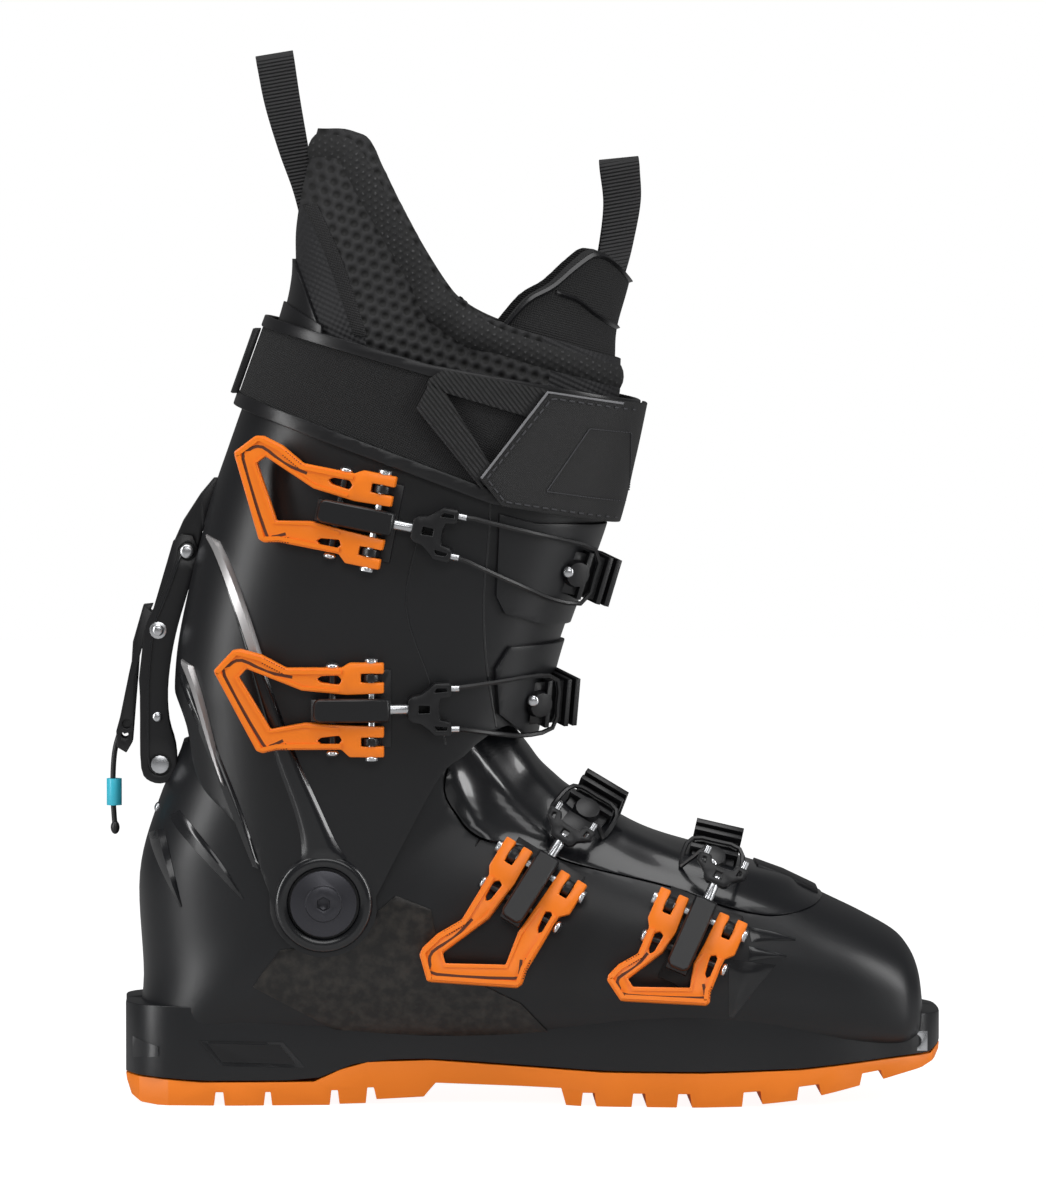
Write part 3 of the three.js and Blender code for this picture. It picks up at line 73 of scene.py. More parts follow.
# %% Camera
def set_camera(target, distance, azimuth, elevation, height_seen):
    data = bpy.data.cameras.new("camera")
    data.sensor_width = 36
    data.lens = 36 * distance / height_seen
    data.clip_end = 50
    camera = bpy.data.objects.new("camera", data)
    bpy.context.scene.collection.objects.link(camera)
    a, e = math.radians(azimuth), math.radians(elevation)
    back = Vector((math.sin(a) * math.cos(e), -math.cos(a) * math.cos(e), math.sin(e)))
    camera.location = target + back * distance
    camera.rotation_mode = "QUATERNION"
    camera.rotation_quaternion = (-back).to_track_quat("-Z", "Y")
    bpy.context.scene.camera = camera


PICTURE_HEIGHT = 0.446
set_camera(at(-3.7, -25, 187.6), 3.2, -1.5, 3.0, PICTURE_HEIGHT)


# %% Floor and lights
bpy.context.scene.view_settings.view_transform = "Standard"


def area_light(name, place, aim, size, power, colour=(1, 1, 1)):
    data = bpy.data.lights.new(name, "AREA")
    data.shape = "RECTANGLE"
    data.size, data.size_y = size
    data.energy = power
    data.color = colour
    light = bpy.data.objects.new(name, data)
    bpy.context.scene.collection.objects.link(light)
    light.location = place
    light.rotation_mode = "QUATERNION"
    light.rotation_quaternion = (Vector(aim) - Vector(place)).to_track_quat("-Z", "Y")


area_light("softbox above", (-0.1, -0.3, 1.5), (0, 0, 0.15), (1.5, 1.1), 15)
area_light("strip left", (-1.4, -0.7, 0.6), (0, 0, 0.2), (0.35, 1.3), 13)
area_light("strip right", (1.4, -0.6, 0.7), (0.05, 0, 0.15), (0.4, 1.2), 13)
area_light("front fill", (0.1, -2.2, 1.1), (0, 0, 0.15), (1.2, 0.7), 7)


def white_world():
    world = bpy.data.worlds.new("studio")
    bpy.context.scene.world = world
    world.use_nodes = True
    nodes, links = world.node_tree.nodes, world.node_tree.links
    nodes.clear()
    out = nodes.new("ShaderNodeOutputWorld")
    mix = nodes.new("ShaderNodeMixShader")
    lit = nodes.new("ShaderNodeBackground")
    seen = nodes.new("ShaderNodeBackground")
    path = nodes.new("ShaderNodeLightPath")
    lit.inputs["Color"].default_value = (1, 1, 1, 1)
    lit.inputs["Strength"].default_value = 0.12
    seen.inputs["Color"].default_value = (1, 1, 1, 1)
    seen.inputs["Strength"].default_value = 1.0
    links.new(path.outputs["Is Camera Ray"], mix.inputs[0])
    links.new(lit.outputs[0], mix.inputs[1])
    links.new(seen.outputs[0], mix.inputs[2])
    links.new(mix.outputs[0], out.inputs["Surface"])


white_world()


# %% [markdown]
# ## Materials
# Each finish is a few nodes: colour, roughness and a fine height pattern. Patterns are measured in
# the object's own coordinates, which are metres here.

# %% Helpers for finishes
def new_material(name, colour, roughness, metallic=0.0, coat=0.0):
    mat = bpy.data.materials.new(name)
    mat.use_nodes = True
    shader = mat.node_tree.nodes["Principled BSDF"]
    shader.inputs["Base Color"].default_value = (*colour, 1)
    shader.inputs["Roughness"].default_value = roughness
    shader.inputs["Metallic"].default_value = metallic
    shader.inputs["Coat Weight"].default_value = coat
    mat.diffuse_color = (*colour, 1)
    return mat


def object_axes(mat, turn=0.0):
    """The x, y and z of a point, after a turn about Y in degrees."""
    nodes, links = mat.node_tree.nodes, mat.node_tree.links
    coords = nodes.new("ShaderNodeTexCoord")
    rotate = nodes.new("ShaderNodeVectorRotate")
    rotate.rotation_type = "Y_AXIS"
    rotate.inputs["Angle"].default_value = math.radians(turn)
    split = nodes.new("ShaderNodeSeparateXYZ")
    links.new(coords.outputs["Object"], rotate.inputs["Vector"])
    links.new(rotate.outputs["Vector"], split.inputs["Vector"])
    return split.outputs["X"], split.outputs["Y"], split.outputs["Z"]


def math_node(mat, operation, first, second=None):
    node = mat.node_tree.nodes.new("ShaderNodeMath")
    node.operation = operation
    for socket, value in zip(node.inputs, (first, second)):
        if value is None:
            continue
        if isinstance(value, (int, float)):
            socket.default_value = value
        else:
            mat.node_tree.links.new(value, socket)
    return node.outputs[0]


def noise(mat, scale, detail=2.0):
    nodes, links = mat.node_tree.nodes, mat.node_tree.links
    coords = nodes.new("ShaderNodeTexCoord")
    texture = nodes.new("ShaderNodeTexNoise")
    texture.inputs["Scale"].default_value = scale
    texture.inputs["Detail"].default_value = detail
    links.new(coords.outputs["Object"], texture.inputs["Vector"])
    return texture.outputs["Fac"]


def bump(mat, height, strength, distance=0.0002):
    nodes, links = mat.node_tree.nodes, mat.node_tree.links
    node = nodes.new("ShaderNodeBump")
    node.inputs["Strength"].default_value = strength
    node.inputs["Distance"].default_value = distance
    links.new(height, node.inputs["Height"])
    links.new(node.outputs["Normal"], nodes["Principled BSDF"].inputs["Normal"])


def tint(mat, factor, dark, light, low=0.0, high=1.0):
    """Colours the material from dark to light as the factor runs from low to high."""
    nodes, links = mat.node_tree.nodes, mat.node_tree.links
    ramp = nodes.new("ShaderNodeValToRGB")
    ramp.color_ramp.elements[0].position = low
    ramp.color_ramp.elements[0].color = (*dark, 1)
    ramp.color_ramp.elements[1].position = high
    ramp.color_ramp.elements[1].color = (*light, 1)
    links.new(factor, ramp.inputs["Fac"])
    links.new(ramp.outputs["Color"], nodes["Principled BSDF"].inputs["Base Color"])


def grained(name, colour, roughness, strength=0.1, scale=2600, coat=0.0):
    mat = new_material(name, colour, roughness, coat=coat)
    bump(mat, noise(mat, scale), strength)
    return mat


def wave(mat, axis, pitch_mm):
    return math_node(mat, "SINE", math_node(mat, "MULTIPLY", axis, 2 * math.pi / (pitch_mm * MM)))


def honeycomb(mat, pitch_mm, turn=0.0):
    """A height that is 1 in the middle of each cell of a six-sided lattice and low between them."""
    x, _, z = object_axes(mat, turn)
    k = 2 * math.pi / (pitch_mm * MM)
    total = math_node(mat, "COSINE", math_node(mat, "MULTIPLY", x, k))
    for side in (1, -1):
        half_x = math_node(mat, "MULTIPLY", x, k / 2)
        part_z = math_node(mat, "MULTIPLY", z, side * k * math.sqrt(3) / 2)
        ripple = math_node(mat, "COSINE", math_node(mat, "ADD", half_x, part_z))
        total = math_node(mat, "ADD", total, ripple)
    return math_node(mat, "MULTIPLY", math_node(mat, "ADD", total, 1.5), 1 / 4.5)


# %% Finishes
shell_black = grained("shell black", (0.006, 0.0065, 0.008), 0.38, 0.12)
cuff_black = grained("cuff black", (0.0045, 0.0048, 0.006), 0.4, 0.12)
gloss_black = new_material("gloss black", (0.006, 0.0065, 0.008), 0.24, coat=0.35)
trim_black = grained("trim black", (0.006, 0.006, 0.007), 0.34, 0.08)
orange_plastic = grained("orange plastic", (0.95, 0.215, 0.008), 0.34, 0.05)
orange_rubber = grained("orange rubber", (0.95, 0.225, 0.007), 0.5, 0.15, 1500)
# Dark orange for the lever's groove strip and grip dots: painted shade, not a colour of the lever.
orange_painted_shade = new_material("orange painted shade", (0.09, 0.02, 0.004), 0.6)
steel = new_material("steel", (0.62, 0.63, 0.65), 0.26, 1.0)
pivot_metal = new_material("pivot metal", (0.05, 0.05, 0.058), 0.3, 0.6)
# Silver-grey of the cuff's flat facets: a painted highlight of the lights on glossy black.
facet_highlight = new_material("facet painted highlight", (0.42, 0.41, 0.41), 0.32, 0.55)
foam_grey = grained("foam", (0.06, 0.06, 0.065), 0.9, 0.4, 900)
cable_black = new_material("cable black", (0.012, 0.012, 0.013), 0.4)
bead_cyan = new_material("cyan bead", (0.05, 0.55, 0.72), 0.35)


def woven(name, colour, pitch, turn, strength, roughness=0.85):
    mat = new_material(name, colour, roughness)
    x, _, z = object_axes(mat, turn)
    threads = math_node(mat, "MULTIPLY", wave(mat, x, pitch), wave(mat, z, pitch))
    bump(mat, threads, strength, 0.0003)
    return mat


strap_cloth = woven("strap cloth", (0.0045, 0.0045, 0.005), 1.1, 17, 0.5)
ripstop = woven("ripstop cloth", (0.006, 0.006, 0.0075), 2.6, 20, 0.6, 0.7)


def ribbed(name, colour, pitch, turn, strength=0.9):
    mat = new_material(name, colour, 0.7)
    _, _, ribs = object_axes(mat, turn)
    bump(mat, wave(mat, ribs, pitch), strength, 0.0004)
    return mat


webbing = ribbed("webbing", (0.007, 0.007, 0.0075), 1.5, -52)


def spacer_mesh():
    mat = new_material("spacer mesh", (0.02, 0.02, 0.021), 0.75)
    cells = honeycomb(mat, 4.1, 12)
    # The sunk middles of the cells are painted near black: painted shade in the hollows of the mesh.
    tint(mat, cells, (0.012, 0.012, 0.013), (0.0003, 0.0003, 0.0003), 0.34, 0.56)
    bump(mat, math_node(mat, "MULTIPLY", cells, -1), 1.0, 0.0012)
    return mat


def collar_cloth():
    mat = new_material("collar cloth", (0.02, 0.02, 0.021), 0.8)
    cells = honeycomb(mat, 2.3)
    # Light specks over the honeycomb are painted glints of the cloth's sheen; the honeycomb is the weave itself.
    glint_specks = noise(mat, 1500, 1.0)
    both = math_node(mat, "MULTIPLY", cells, glint_specks)
    tint(mat, both, (0.004, 0.004, 0.0045), (0.06, 0.06, 0.062), 0.36, 0.68)
    bump(mat, cells, 0.6, 0.0005)
    return mat


mesh_cloth = spacer_mesh()
collar = collar_cloth()


# %% [markdown]
# ## Building tools
# Most walls of the boot are skins: a smooth surface drawn through section rings, trimmed to an
# outline in the side view and given a thickness.

# %% Tools for curves and rings
def smooth_rows(rows, steps):
    """Catmull-Rom rows between the given ones, with the given steps in each gap."""
    rows = np.array(rows, float)
    padded = np.vstack([2 * rows[0] - rows[1], rows, 2 * rows[-1] - rows[-2]])
    out = []
    for i in range(1, len(padded) - 2):
        p0, p1, p2, p3 = padded[i - 1 : i + 3]
        for t in np.linspace(0, 1, steps, endpoint=False):
            out.append(0.5 * (2 * p1 + (p2 - p0) * t + (2 * p0 - 5 * p1 + 4 * p2 - p3) * t * t
                              + (3 * p1 - p0 - 3 * p2 + p3) * t ** 3))
    return np.array([*out, rows[-1]])


def ring_point(station, angle, grow, roundness):
    fx, fz, rx, rz, half = station
    length = math.hypot(fx - rx, fz - rz)
    c, s = math.cos(angle), math.sin(angle)
    along = math.copysign(abs(c) ** (2 / roundness), c) * (length / 2 + grow) / length
    across = math.copysign(abs(s) ** (2 / roundness), s) * (half + grow)
    return at((fx + rx) / 2 + (fx - rx) * along, across, (fz + rz) / 2 + (fz - rz) * along)


def ring_grid(bm, stations, grow, roundness, around, cap=False):
    """Rings of faces through the stations, open at both ends unless the first one is capped."""
    rows = []
    for station in stations:
        angles = [2 * math.pi * i / around for i in range(around)]
        rows.append([bm.verts.new(ring_point(station, a, grow, roundness)) for a in angles])
    for low, high in zip(rows, rows[1:]):
        for i in range(around):
            j = (i + 1) % around
            bm.faces.new((low[i], low[j], high[j], high[i]))
    if cap:
        bm.faces.new(rows[0])
    bmesh.ops.recalc_face_normals(bm, faces=bm.faces[:])
    return rows


# %% Tools for trimming
def outline_at(points):
    return [at(x, 0, z) for x, z in points]


def inside(outline, x, z):
    """Even-odd test of a side-view point against a closed outline."""
    odd = False
    for a, b in zip(outline, [*outline[1:], outline[0]]):
        if (a.z > z) != (b.z > z) and x < (b.x - a.x) * (z - a.z) / (b.z - a.z) + a.x:
            odd = not odd
    return odd


def score(bm, outline, wanted=lambda centre: True):
    """Cuts edges into the faces along an outline, straight through in the side view."""
    for a, b in zip(outline, [*outline[1:], outline[0]]):
        if (b - a).length < 1e-7:
            continue
        low_x, high_x = min(a.x, b.x) - 1e-5, max(a.x, b.x) + 1e-5
        low_z, high_z = min(a.z, b.z) - 1e-5, max(a.z, b.z) + 1e-5
        faces = []
        for face in bm.faces:
            xs = [v.co.x for v in face.verts]
            if max(xs) < low_x or min(xs) > high_x:
                continue
            zs = [v.co.z for v in face.verts]
            if max(zs) >= low_z and min(zs) <= high_z and wanted(face.calc_center_median()):
                faces.append(face)
        normal = Vector((b.z - a.z, 0, a.x - b.x)).normalized()
        near = list({*faces, *(e for f in faces for e in f.edges), *(v for f in faces for v in f.verts)})
        bmesh.ops.bisect_plane(bm, geom=near, dist=1e-6, plane_co=a, plane_no=normal)


def trim(bm, outline, keep_inside=True):
    """Cuts along the outline and throws away the faces on the wrong side of it."""
    score(bm, outline)
    gone = []
    for face in bm.faces:
        centre = face.calc_center_median()
        if inside(outline, centre.x, centre.z) != keep_inside:
            gone.append(face)
    bmesh.ops.delete(bm, geom=gone, context="FACES")
    tidy_rim(bm, outline)


def tidy_rim(bm, outline):
    """Merges slivers and puts the rim back on the outline."""
    bmesh.ops.remove_doubles(bm, verts=bm.verts[:], dist=0.0005)
    segments = list(zip(outline, [*outline[1:], outline[0]]))
    for vert in [v for v in bm.verts if v.is_boundary]:
        flat = Vector((vert.co.x, 0, vert.co.z))
        best, reach = None, 0.0006
        for a, b in segments:
            if b == a:
                continue
            a0, b0 = Vector((a.x, 0, a.z)), Vector((b.x, 0, b.z))
            point, share = intersect_point_line(flat, a0, b0)
            point = a0 + (b0 - a0) * min(1, max(0, share))
            if (point - flat).length < reach:
                best, reach = point, (point - flat).length
        if best is not None:
            vert.co.x, vert.co.z = best.x, best.z


# %% Tools for finished pieces
def finish_mesh(name, bm, body, materials, replaces=(), sharp=38):
    """Turns the bmesh into a piece that rides on a body and stands for CAD nodes."""
    name = name.replace(" ", "-")
    bmesh.ops.recalc_face_normals(bm, faces=bm.faces[:])
    limit = math.radians(sharp)
    for face in bm.faces:
        face.smooth = True
    for edge in bm.edges:
        edge.smooth = len(edge.link_faces) == 2 and edge.calc_face_angle(0) < limit
    mesh = bpy.data.meshes.new(name)
    bm.to_mesh(mesh)
    bm.free()
    for mat in materials if isinstance(materials, (list, tuple)) else [materials]:
        mesh.materials.append(mat)
    obj = bpy.data.objects.new(name, mesh)
    bpy.context.scene.collection.objects.link(obj)
    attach(obj, body)
    if replaces:
        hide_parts(*replaces)
    return obj


def sharp_edges(bm, angle=35):
    limit = math.radians(angle)
    return [e for e in bm.edges if len(e.link_faces) == 2 and e.calc_face_angle(0) > limit]


def round_edges(bm, edges, width_mm, segments=2):
    if edges:
        bmesh.ops.bevel(bm, geom=edges, offset=width_mm * MM, segments=segments, profile=0.5,
                        affect="EDGES", clamp_overlap=True, material=-1)


def skin_thickness(bm, thickness_mm, rim_mm):
    """Gives an open skin its wall, inwards, and rounds the rim."""
    bmesh.ops.recalc_face_normals(bm, faces=bm.faces[:])
    bmesh.ops.solidify(bm, geom=bm.faces[:], thickness=thickness_mm * MM)
    bmesh.ops.recalc_face_normals(bm, faces=bm.faces[:])
    round_edges(bm, sharp_edges(bm, 50), rim_mm)


def polish(node, body, mat, width_mm=0.4, angle=30, flat=1.0):
    """A clean copy of a CAD node with its edges rounded."""
    bm = bmesh.new()
    bm.from_mesh(frame["nodes"][node].data)
    bmesh.ops.remove_doubles(bm, verts=bm.verts[:], dist=2e-6)
    bmesh.ops.dissolve_limit(bm, angle_limit=math.radians(flat), verts=bm.verts[:], edges=bm.edges[:])
    round_edges(bm, sharp_edges(bm, angle), width_mm)
    return finish_mesh("finished " + node.replace("_", " "), bm, body, mat, [node], sharp=32)


def plate_mesh(outline, low, high, holes=()):
    """A flat plate in its own frame, its outline in x and y, between two heights."""
    bm = bmesh.new()
    for loop in (outline, *holes):
        verts = [bm.verts.new((x, y, low)) for x, y in loop]
        for a, b in zip(verts, [*verts[1:], verts[0]]):
            bm.edges.new((a, b))
    filled = bmesh.ops.triangle_fill(bm, use_beauty=True, use_dissolve=False, edges=bm.edges[:])
    faces = [f for f in filled["geom"] if isinstance(f, bmesh.types.BMFace)]
    made = bmesh.ops.extrude_face_region(bm, geom=faces)
    top = [v for v in made["geom"] if isinstance(v, bmesh.types.BMVert)]
    bmesh.ops.translate(bm, verts=top, vec=(0, 0, high - low))
    bmesh.ops.recalc_face_normals(bm, faces=bm.faces[:])
    return bm


# %% [markdown]
# ## Lower shell
# The rings run from the toe cap over the instep to the heel and up to the rear rim. Each is given
# by its front point, its rear point and its half width.

# %% Lower shell rings
SHELL_RINGS = [
    [145.6, 41, 145.6, 24, 20], [144, 50, 144.6, 20, 31], [140.9, 56.6, 142, 18, 37],
    [135.7, 62, 137, 16, 41.5], [124, 68.6, 126, 15, 46], [111.8, 74.5, 112, 14, 49],
    [95, 82.5, 90, 14, 51.2], [70, 91.7, 62, 14, 52], [44, 99.6, 25, 15, 50],
    [28, 108, -12, 16, 47], [14.5, 115.6, -52, 16, 45], [7.5, 121.3, -92, 15, 44.6],
    [2.6, 126, -126, 14, 44.8], [-1.5, 131.5, -147, 16, 45], [-5.5, 136.5, -145.6, 46, 45],
    [-9.6, 141.2, -147, 84, 45], [-14, 146, -139.6, 112, 45], [-19, 150.4, -130.4, 134, 44.6],
    [-24, 165, -126, 160, 44],
]
SHELL_ROUNDNESS = 2.5
shell_rings = smooth_rows(SHELL_RINGS, 7)
SOLE_LINE = [
    (-152, 11), (-124, 9), (-82, 9), (-72, 13.5), (-62, 16.2), (-38, 16.7), (-12, 15), (25, 13),
    (62, 13), (99, 14), (125, 16.2), (137, 17.4), (148, 18.2), (152.3, 21.6),
]
FLAP_EDGE = [
    (-19.5, 152), (-33.5, 121.6), (-28.4, 107), (-20.5, 99.5), (-8, 96.5), (4, 93.5),
    (17.3, 89.3), (50, 81.5), (71.6, 74), (88, 71), (102.5, 73.2), (112, 78),
]


def soft_line(points, steps=5):
    return [tuple(p) for p in smooth_rows(points, steps)]


# %% [markdown]
# Above the sole line and below the rear rim lies the outer wall; the instep, which the flap
# covers, is left open, and the wall gets its thickness.

# %% Lower shell wall
def lower_shell():
    bm = bmesh.new()
    ring_grid(bm, shell_rings, 0, SHELL_ROUNDNESS, 132, cap=True)
    body = outline_at([*SOLE_LINE, (200, 21.6), (200, 134), (-200, 134), (-200, 11)])
    trim(bm, body)
    flap = outline_at([*soft_line(FLAP_EDGE), (112, 100), (30, 150), (-8, 175)])
    trim(bm, flap, keep_inside=False)
    notch = outline_at([(-133, 122), (-133, 200), (-200, 200), (-200, 122)])
    score(bm, notch)
    half = 11.0 * MM
    gone = []
    for face in bm.faces:
        c = face.calc_center_median()
        if abs(c.y - SHIFT.y) < half and inside(notch, c.x, c.z):
            gone.append(face)
    bmesh.ops.delete(bm, geom=gone, context="FACES")
    skin_thickness(bm, 3.2, 0.5)
    return finish_mesh("lower shell wall", bm, "shell", [shell_black], ["lower_shell"])


wall = lower_shell()
print("lower shell wall has", len(wall.data.polygons), "faces")

# %% [markdown]
# The sole block is the flat-sided foot of the shell: its plan is cut from a slab, its upper edge
# follows the welt.

# %% Sole block and outsole
SOLE_PLAN = [
    (-152, 0), (-152, -17), (-147, -28), (-136, -34.5), (-112, -36.5), (-80, -35), (-40, -32.5),
    (-5, -36), (30, -44), (62, -48), (90, -47), (112, -42.5), (130, -35.5), (143, -30.5),
    (149, -25), (152.3, -14), (152.3, 14), (149, 25), (143, 30.5), (130, 35.5), (112, 41),
    (90, 44), (62, 45), (30, 42), (-5, 36), (-40, 33), (-80, 35), (-112, 36.5), (-136, 34.5),
    (-147, 28), (-152, 17),
]
WELT_TOP = [
    (152.3, 33), (134, 33.4), (122, 31), (108, 36), (60, 36), (0, 38), (-60, 40), (-96, 38),
    (-106, 31), (-114, 32), (-121, 36.6), (-152, 37.4),
]


def plan_line(steps=3):
    closed = [*SOLE_PLAN[1:], SOLE_PLAN[0]]
    return [tuple(p) for p in smooth_rows([*closed, closed[0]], steps)][:-1]


def height_on(line, x):
    xs = [p[0] for p in line]
    zs = [p[1] for p in line]
    return float(np.interp(x, xs, zs))


def sole_block():
    """Side walls between the sole line and the welt, a roof over them and a floor under them."""
    bm = bmesh.new()
    plan = plan_line()
    top_line = sorted(WELT_TOP)
    low = [bm.verts.new(at(x, y, height_on(SOLE_LINE, x) + 0.3)) for x, y in plan]
    high = [bm.verts.new(at(x, y, height_on(top_line, x))) for x, y in plan]
    n = len(plan)
    for i in range(n):
        j = (i + 1) % n
        bm.faces.new((low[i], low[j], high[j], high[i]))
    roof = bm.faces.new(high)
    base = bm.faces.new(low[::-1])
    bmesh.ops.triangulate(bm, faces=[roof, base])
    bmesh.ops.recalc_face_normals(bm, faces=bm.faces[:])
    round_edges(bm, sharp_edges(bm, 50), 1.2, 3)
    return finish_mesh("sole block", bm, "shell", [shell_black])


sole_block()


# %% [markdown]
# Shallow recesses of the sole block are drawn as dark inlays that follow its side.

# %% Inlays of the sole block
def plan_width(x):
    """Half width of the sole block at x, on the lateral side."""
    side_points = sorted((px, -py) for px, py in plan_line() if py < 0)
    return float(np.interp(x, [p[0] for p in side_points], [p[1] for p in side_points]))


def sole_inlay(name, outline, mat, rise=0.25, depth=0.8):
    corners = [Vector((x, 0, z)) for x, z in outline]
    bm = bmesh.new()
    outer = [bm.verts.new(at(c.x, -plan_width(c.x) - rise, c.z)) for c in corners]
    inner = [bm.verts.new(at(c.x, -plan_width(c.x) + depth, c.z)) for c in corners]
    n = len(corners)
    for i in range(n):
        j = (i + 1) % n
        bm.faces.new((outer[i], outer[j], inner[j], inner[i]))
    caps = [bm.faces.new(outer), bm.faces.new(inner[::-1])]
    bmesh.ops.triangulate(bm, faces=caps)
    bmesh.ops.recalc_face_normals(bm, faces=bm.faces[:])
    return finish_mesh(name, bm, "shell", [mat])


def dense(points, steps=6):
    closed = [*points, points[0]]
    return [
        (a[0] + (b[0] - a[0]) * i / steps, a[1] + (b[1] - a[1]) * i / steps)
        for a, b in zip(closed, closed[1:]) for i in range(steps)
    ]


HEEL_POCKET = [(-121.5, 23.4), (-116, 16.4), (-88.6, 15.3), (-94.6, 22.6)]
HEEL_SLOT = [(-149.4, 25), (-139.6, 21.8), (-139.6, 18.2), (-149.4, 17.2)]
widths = [round(plan_width(x), 1) for x in (134, 137, 141, 146, 150)]
print("half width of the sole block at the toe insert", widths)
POCKET_RIM = [(-124.6, 24.3), (-117, 15), (-85, 14), (-93.4, 23.6)]
sole_inlay("heel_pocket_rim", dense(POCKET_RIM), gloss_black, 0.3)
sole_inlay("heel_pocket", dense(HEEL_POCKET), trim_black, 0.55)
sole_inlay("heel_slot", dense(HEEL_SLOT), gloss_black, 0.3)
polish("outsole", "shell", orange_rubber, 0.7, 25)
polish("toe_insert", "shell", steel, 0.4)
polish("heel_insert", "shell", steel, 0.4)
polish("boot_board", "shell", foam_grey, 0.5)
polish("footbed", "shell", foam_grey, 0.5)
polish("liner_foot", "shell", ripstop, 0.5)

# %% [markdown]
# ## Instep flap
# A glossy sheet over the instep. Moulded ridges run down its side, so the sheet is pushed out
# along them before it gets its thickness.

# %% Instep flap
FLAP_RIDGES = [
    [(-30, 122), (-22, 104), (-14, 97.5), (6, 94.5)],
    [(-12, 140), (0, 122), (12, 108), (22, 101)],
    [(-24, 133), (-8, 112), (4, 101)],
    [(34, 100), (52, 92), (74, 86), (96, 82)],
]


def line_distance(x, z, line):
    best = 1e9
    for (ax, az), (bx, bz) in zip(line, line[1:]):
        dx, dz = bx - ax, bz - az
        t = min(1, max(0, ((x - ax) * dx + (z - az) * dz) / (dx * dx + dz * dz)))
        best = min(best, math.hypot(x - ax - t * dx, z - az - t * dz))
    return best


def drawn(point):
    """A place in the frame as millimetres of the drawing."""
    p = (point - SHIFT) / MM
    return p.x, p.y, p.z


def instep_flap():
    bm = bmesh.new()
    ring_grid(bm, smooth_rows(SHELL_RINGS, 10), 0.5, SHELL_ROUNDNESS, 160, cap=True)
    edge = [(x + 0.5, z + 0.6) for x, z in soft_line(FLAP_EDGE)]
    trim(bm, outline_at([*edge, (112, 100), (30, 149), (-8, 149)]))
    bm.normal_update()
    for vert in bm.verts:
        x, _, z = drawn(vert.co)
        near = min(line_distance(x, z, ridge) for ridge in FLAP_RIDGES)
        vert.co += vert.normal * 1.3 * MM * math.exp(-((near / 2.6) ** 2))
    skin_thickness(bm, 2.4, 0.6)
    return finish_mesh("instep flap", bm, "shell", [gloss_black], ["instep_flap"])


instep_flap()
polish("flap_anchor", "shell", trim_black, 0.6)

# %% [markdown]
# ## Cuff
# The cuff is drawn like the lower shell. Its outline holds the round ears at the pivot and the
# notch at the back where the walk lock swings.

# %% Cuff rings and edges
CUFF_RINGS = [
    [-2, 50, -126, 45, 50.4], [0, 105, -131, 105, 51], [0.8, 137, -133.2, 141, 51.6],
    [5, 152, -134, 158, 52], [11.5, 175, -131.2, 180, 52.6], [25.9, 214, -122, 218, 53.4],
    [32.4, 240, -112, 248, 53.8], [37, 262, -98, 287, 54], [41, 282, -90, 308, 54],
]
CUFF_ROUNDNESS = 2.9
cuff_rings = smooth_rows(CUFF_RINGS, 14)
CUFF_FRONT = [
    (-58.9, 79), (-49.7, 97), (-35.5, 123), (-26, 131), (-20.5, 136), (-9.9, 141.5), (0.4, 137.6),
    (20, 137),
]
CUFF_BACK = [(-133.4, 152.5), (-128.9, 140.6), (-124, 120), (-107.5, 102), (-98.2, 80)]
CUFF_TOP = [(60, 254), (38, 256), (-30, 270), (-99, 292), (-160, 306)]
PADS = [
    [(-13.2, 220.6), (0, 217), (60, 214), (60, 178), (4, 178.6), (-11, 183.5), (-14.3, 190)],
    [(-14.3, 163), (-9, 171), (60, 173.6), (60, 136), (-3, 138), (-13, 146)],
]


def pivot_arc(radius, start, end, steps):
    turns = np.linspace(math.radians(start), math.radians(end), steps)
    return [(PIVOT_XZ[0] + math.cos(t) * radius, PIVOT_XZ[1] + math.sin(t) * radius) for t in turns]


def cuff_outline():
    return outline_at([
        *pivot_arc(20, 190, 350, 24), *soft_line(CUFF_FRONT), *CUFF_TOP,
        (-160, 165), (-134.6, 163), *soft_line(CUFF_BACK),
    ])


def cuff_sheet(grow, around=150):
    bm = bmesh.new()
    ring_grid(bm, cuff_rings, grow, CUFF_ROUNDNESS, around)
    return bm


# %% Cuff wall
def cuff_wall():
    bm = cuff_sheet(0)
    trim(bm, cuff_outline())
    notch = outline_at([(-90, 0), (-90, 215), (-200, 215), (-200, 0)])
    half = 13.8 * MM
    for y in (SHIFT.y - half, SHIFT.y + half):
        near = [f for f in bm.faces if inside(notch, f.calc_center_median().x, f.calc_center_median().z)]
        geom = list({*near, *(e for f in near for e in f.edges), *(v for f in near for v in f.verts)})
        bmesh.ops.bisect_plane(bm, geom=geom, dist=1e-6, plane_co=(0, y, 0), plane_no=(0, 1, 0))
    score(bm, notch)
    gone = []
    for face in bm.faces:
        c = face.calc_center_median()
        if abs(c.y - SHIFT.y) < half and inside(notch, c.x, c.z):
            gone.append(face)
    bmesh.ops.delete(bm, geom=gone, context="FACES")
    skin_thickness(bm, 2.2, 0.5)
    return finish_mesh("cuff wall", bm, "cuff", [cuff_black], ["cuff_shell"])


cuff = cuff_wall()
print("cuff wall has", len(cuff.data.polygons), "faces")


# %% [markdown]
# Patches are pieces of the same surface a little further out: pads, ribs, facets and bands. Each is
# trimmed from a sheet and given its own thickness.

# %% Tool for patches
def keep_near(bm, points, lateral=True, margin=5):
    xs, zs = [p[0] for p in points], [p[1] for p in points]
    gone = []
    for face in bm.faces:
        x, y, z = drawn(face.calc_center_median())
        far = x < min(xs) - margin or x > max(xs) + margin or z < min(zs) - margin or z > max(zs) + margin
        if far or (lateral and y > 0.5):
            gone.append(face)
    bmesh.ops.delete(bm, geom=gone, context="FACES")


def shell_sheet(grow, around=132):
    bm = bmesh.new()
    ring_grid(bm, shell_rings, grow, SHELL_ROUNDNESS, around, cap=True)
    return bm


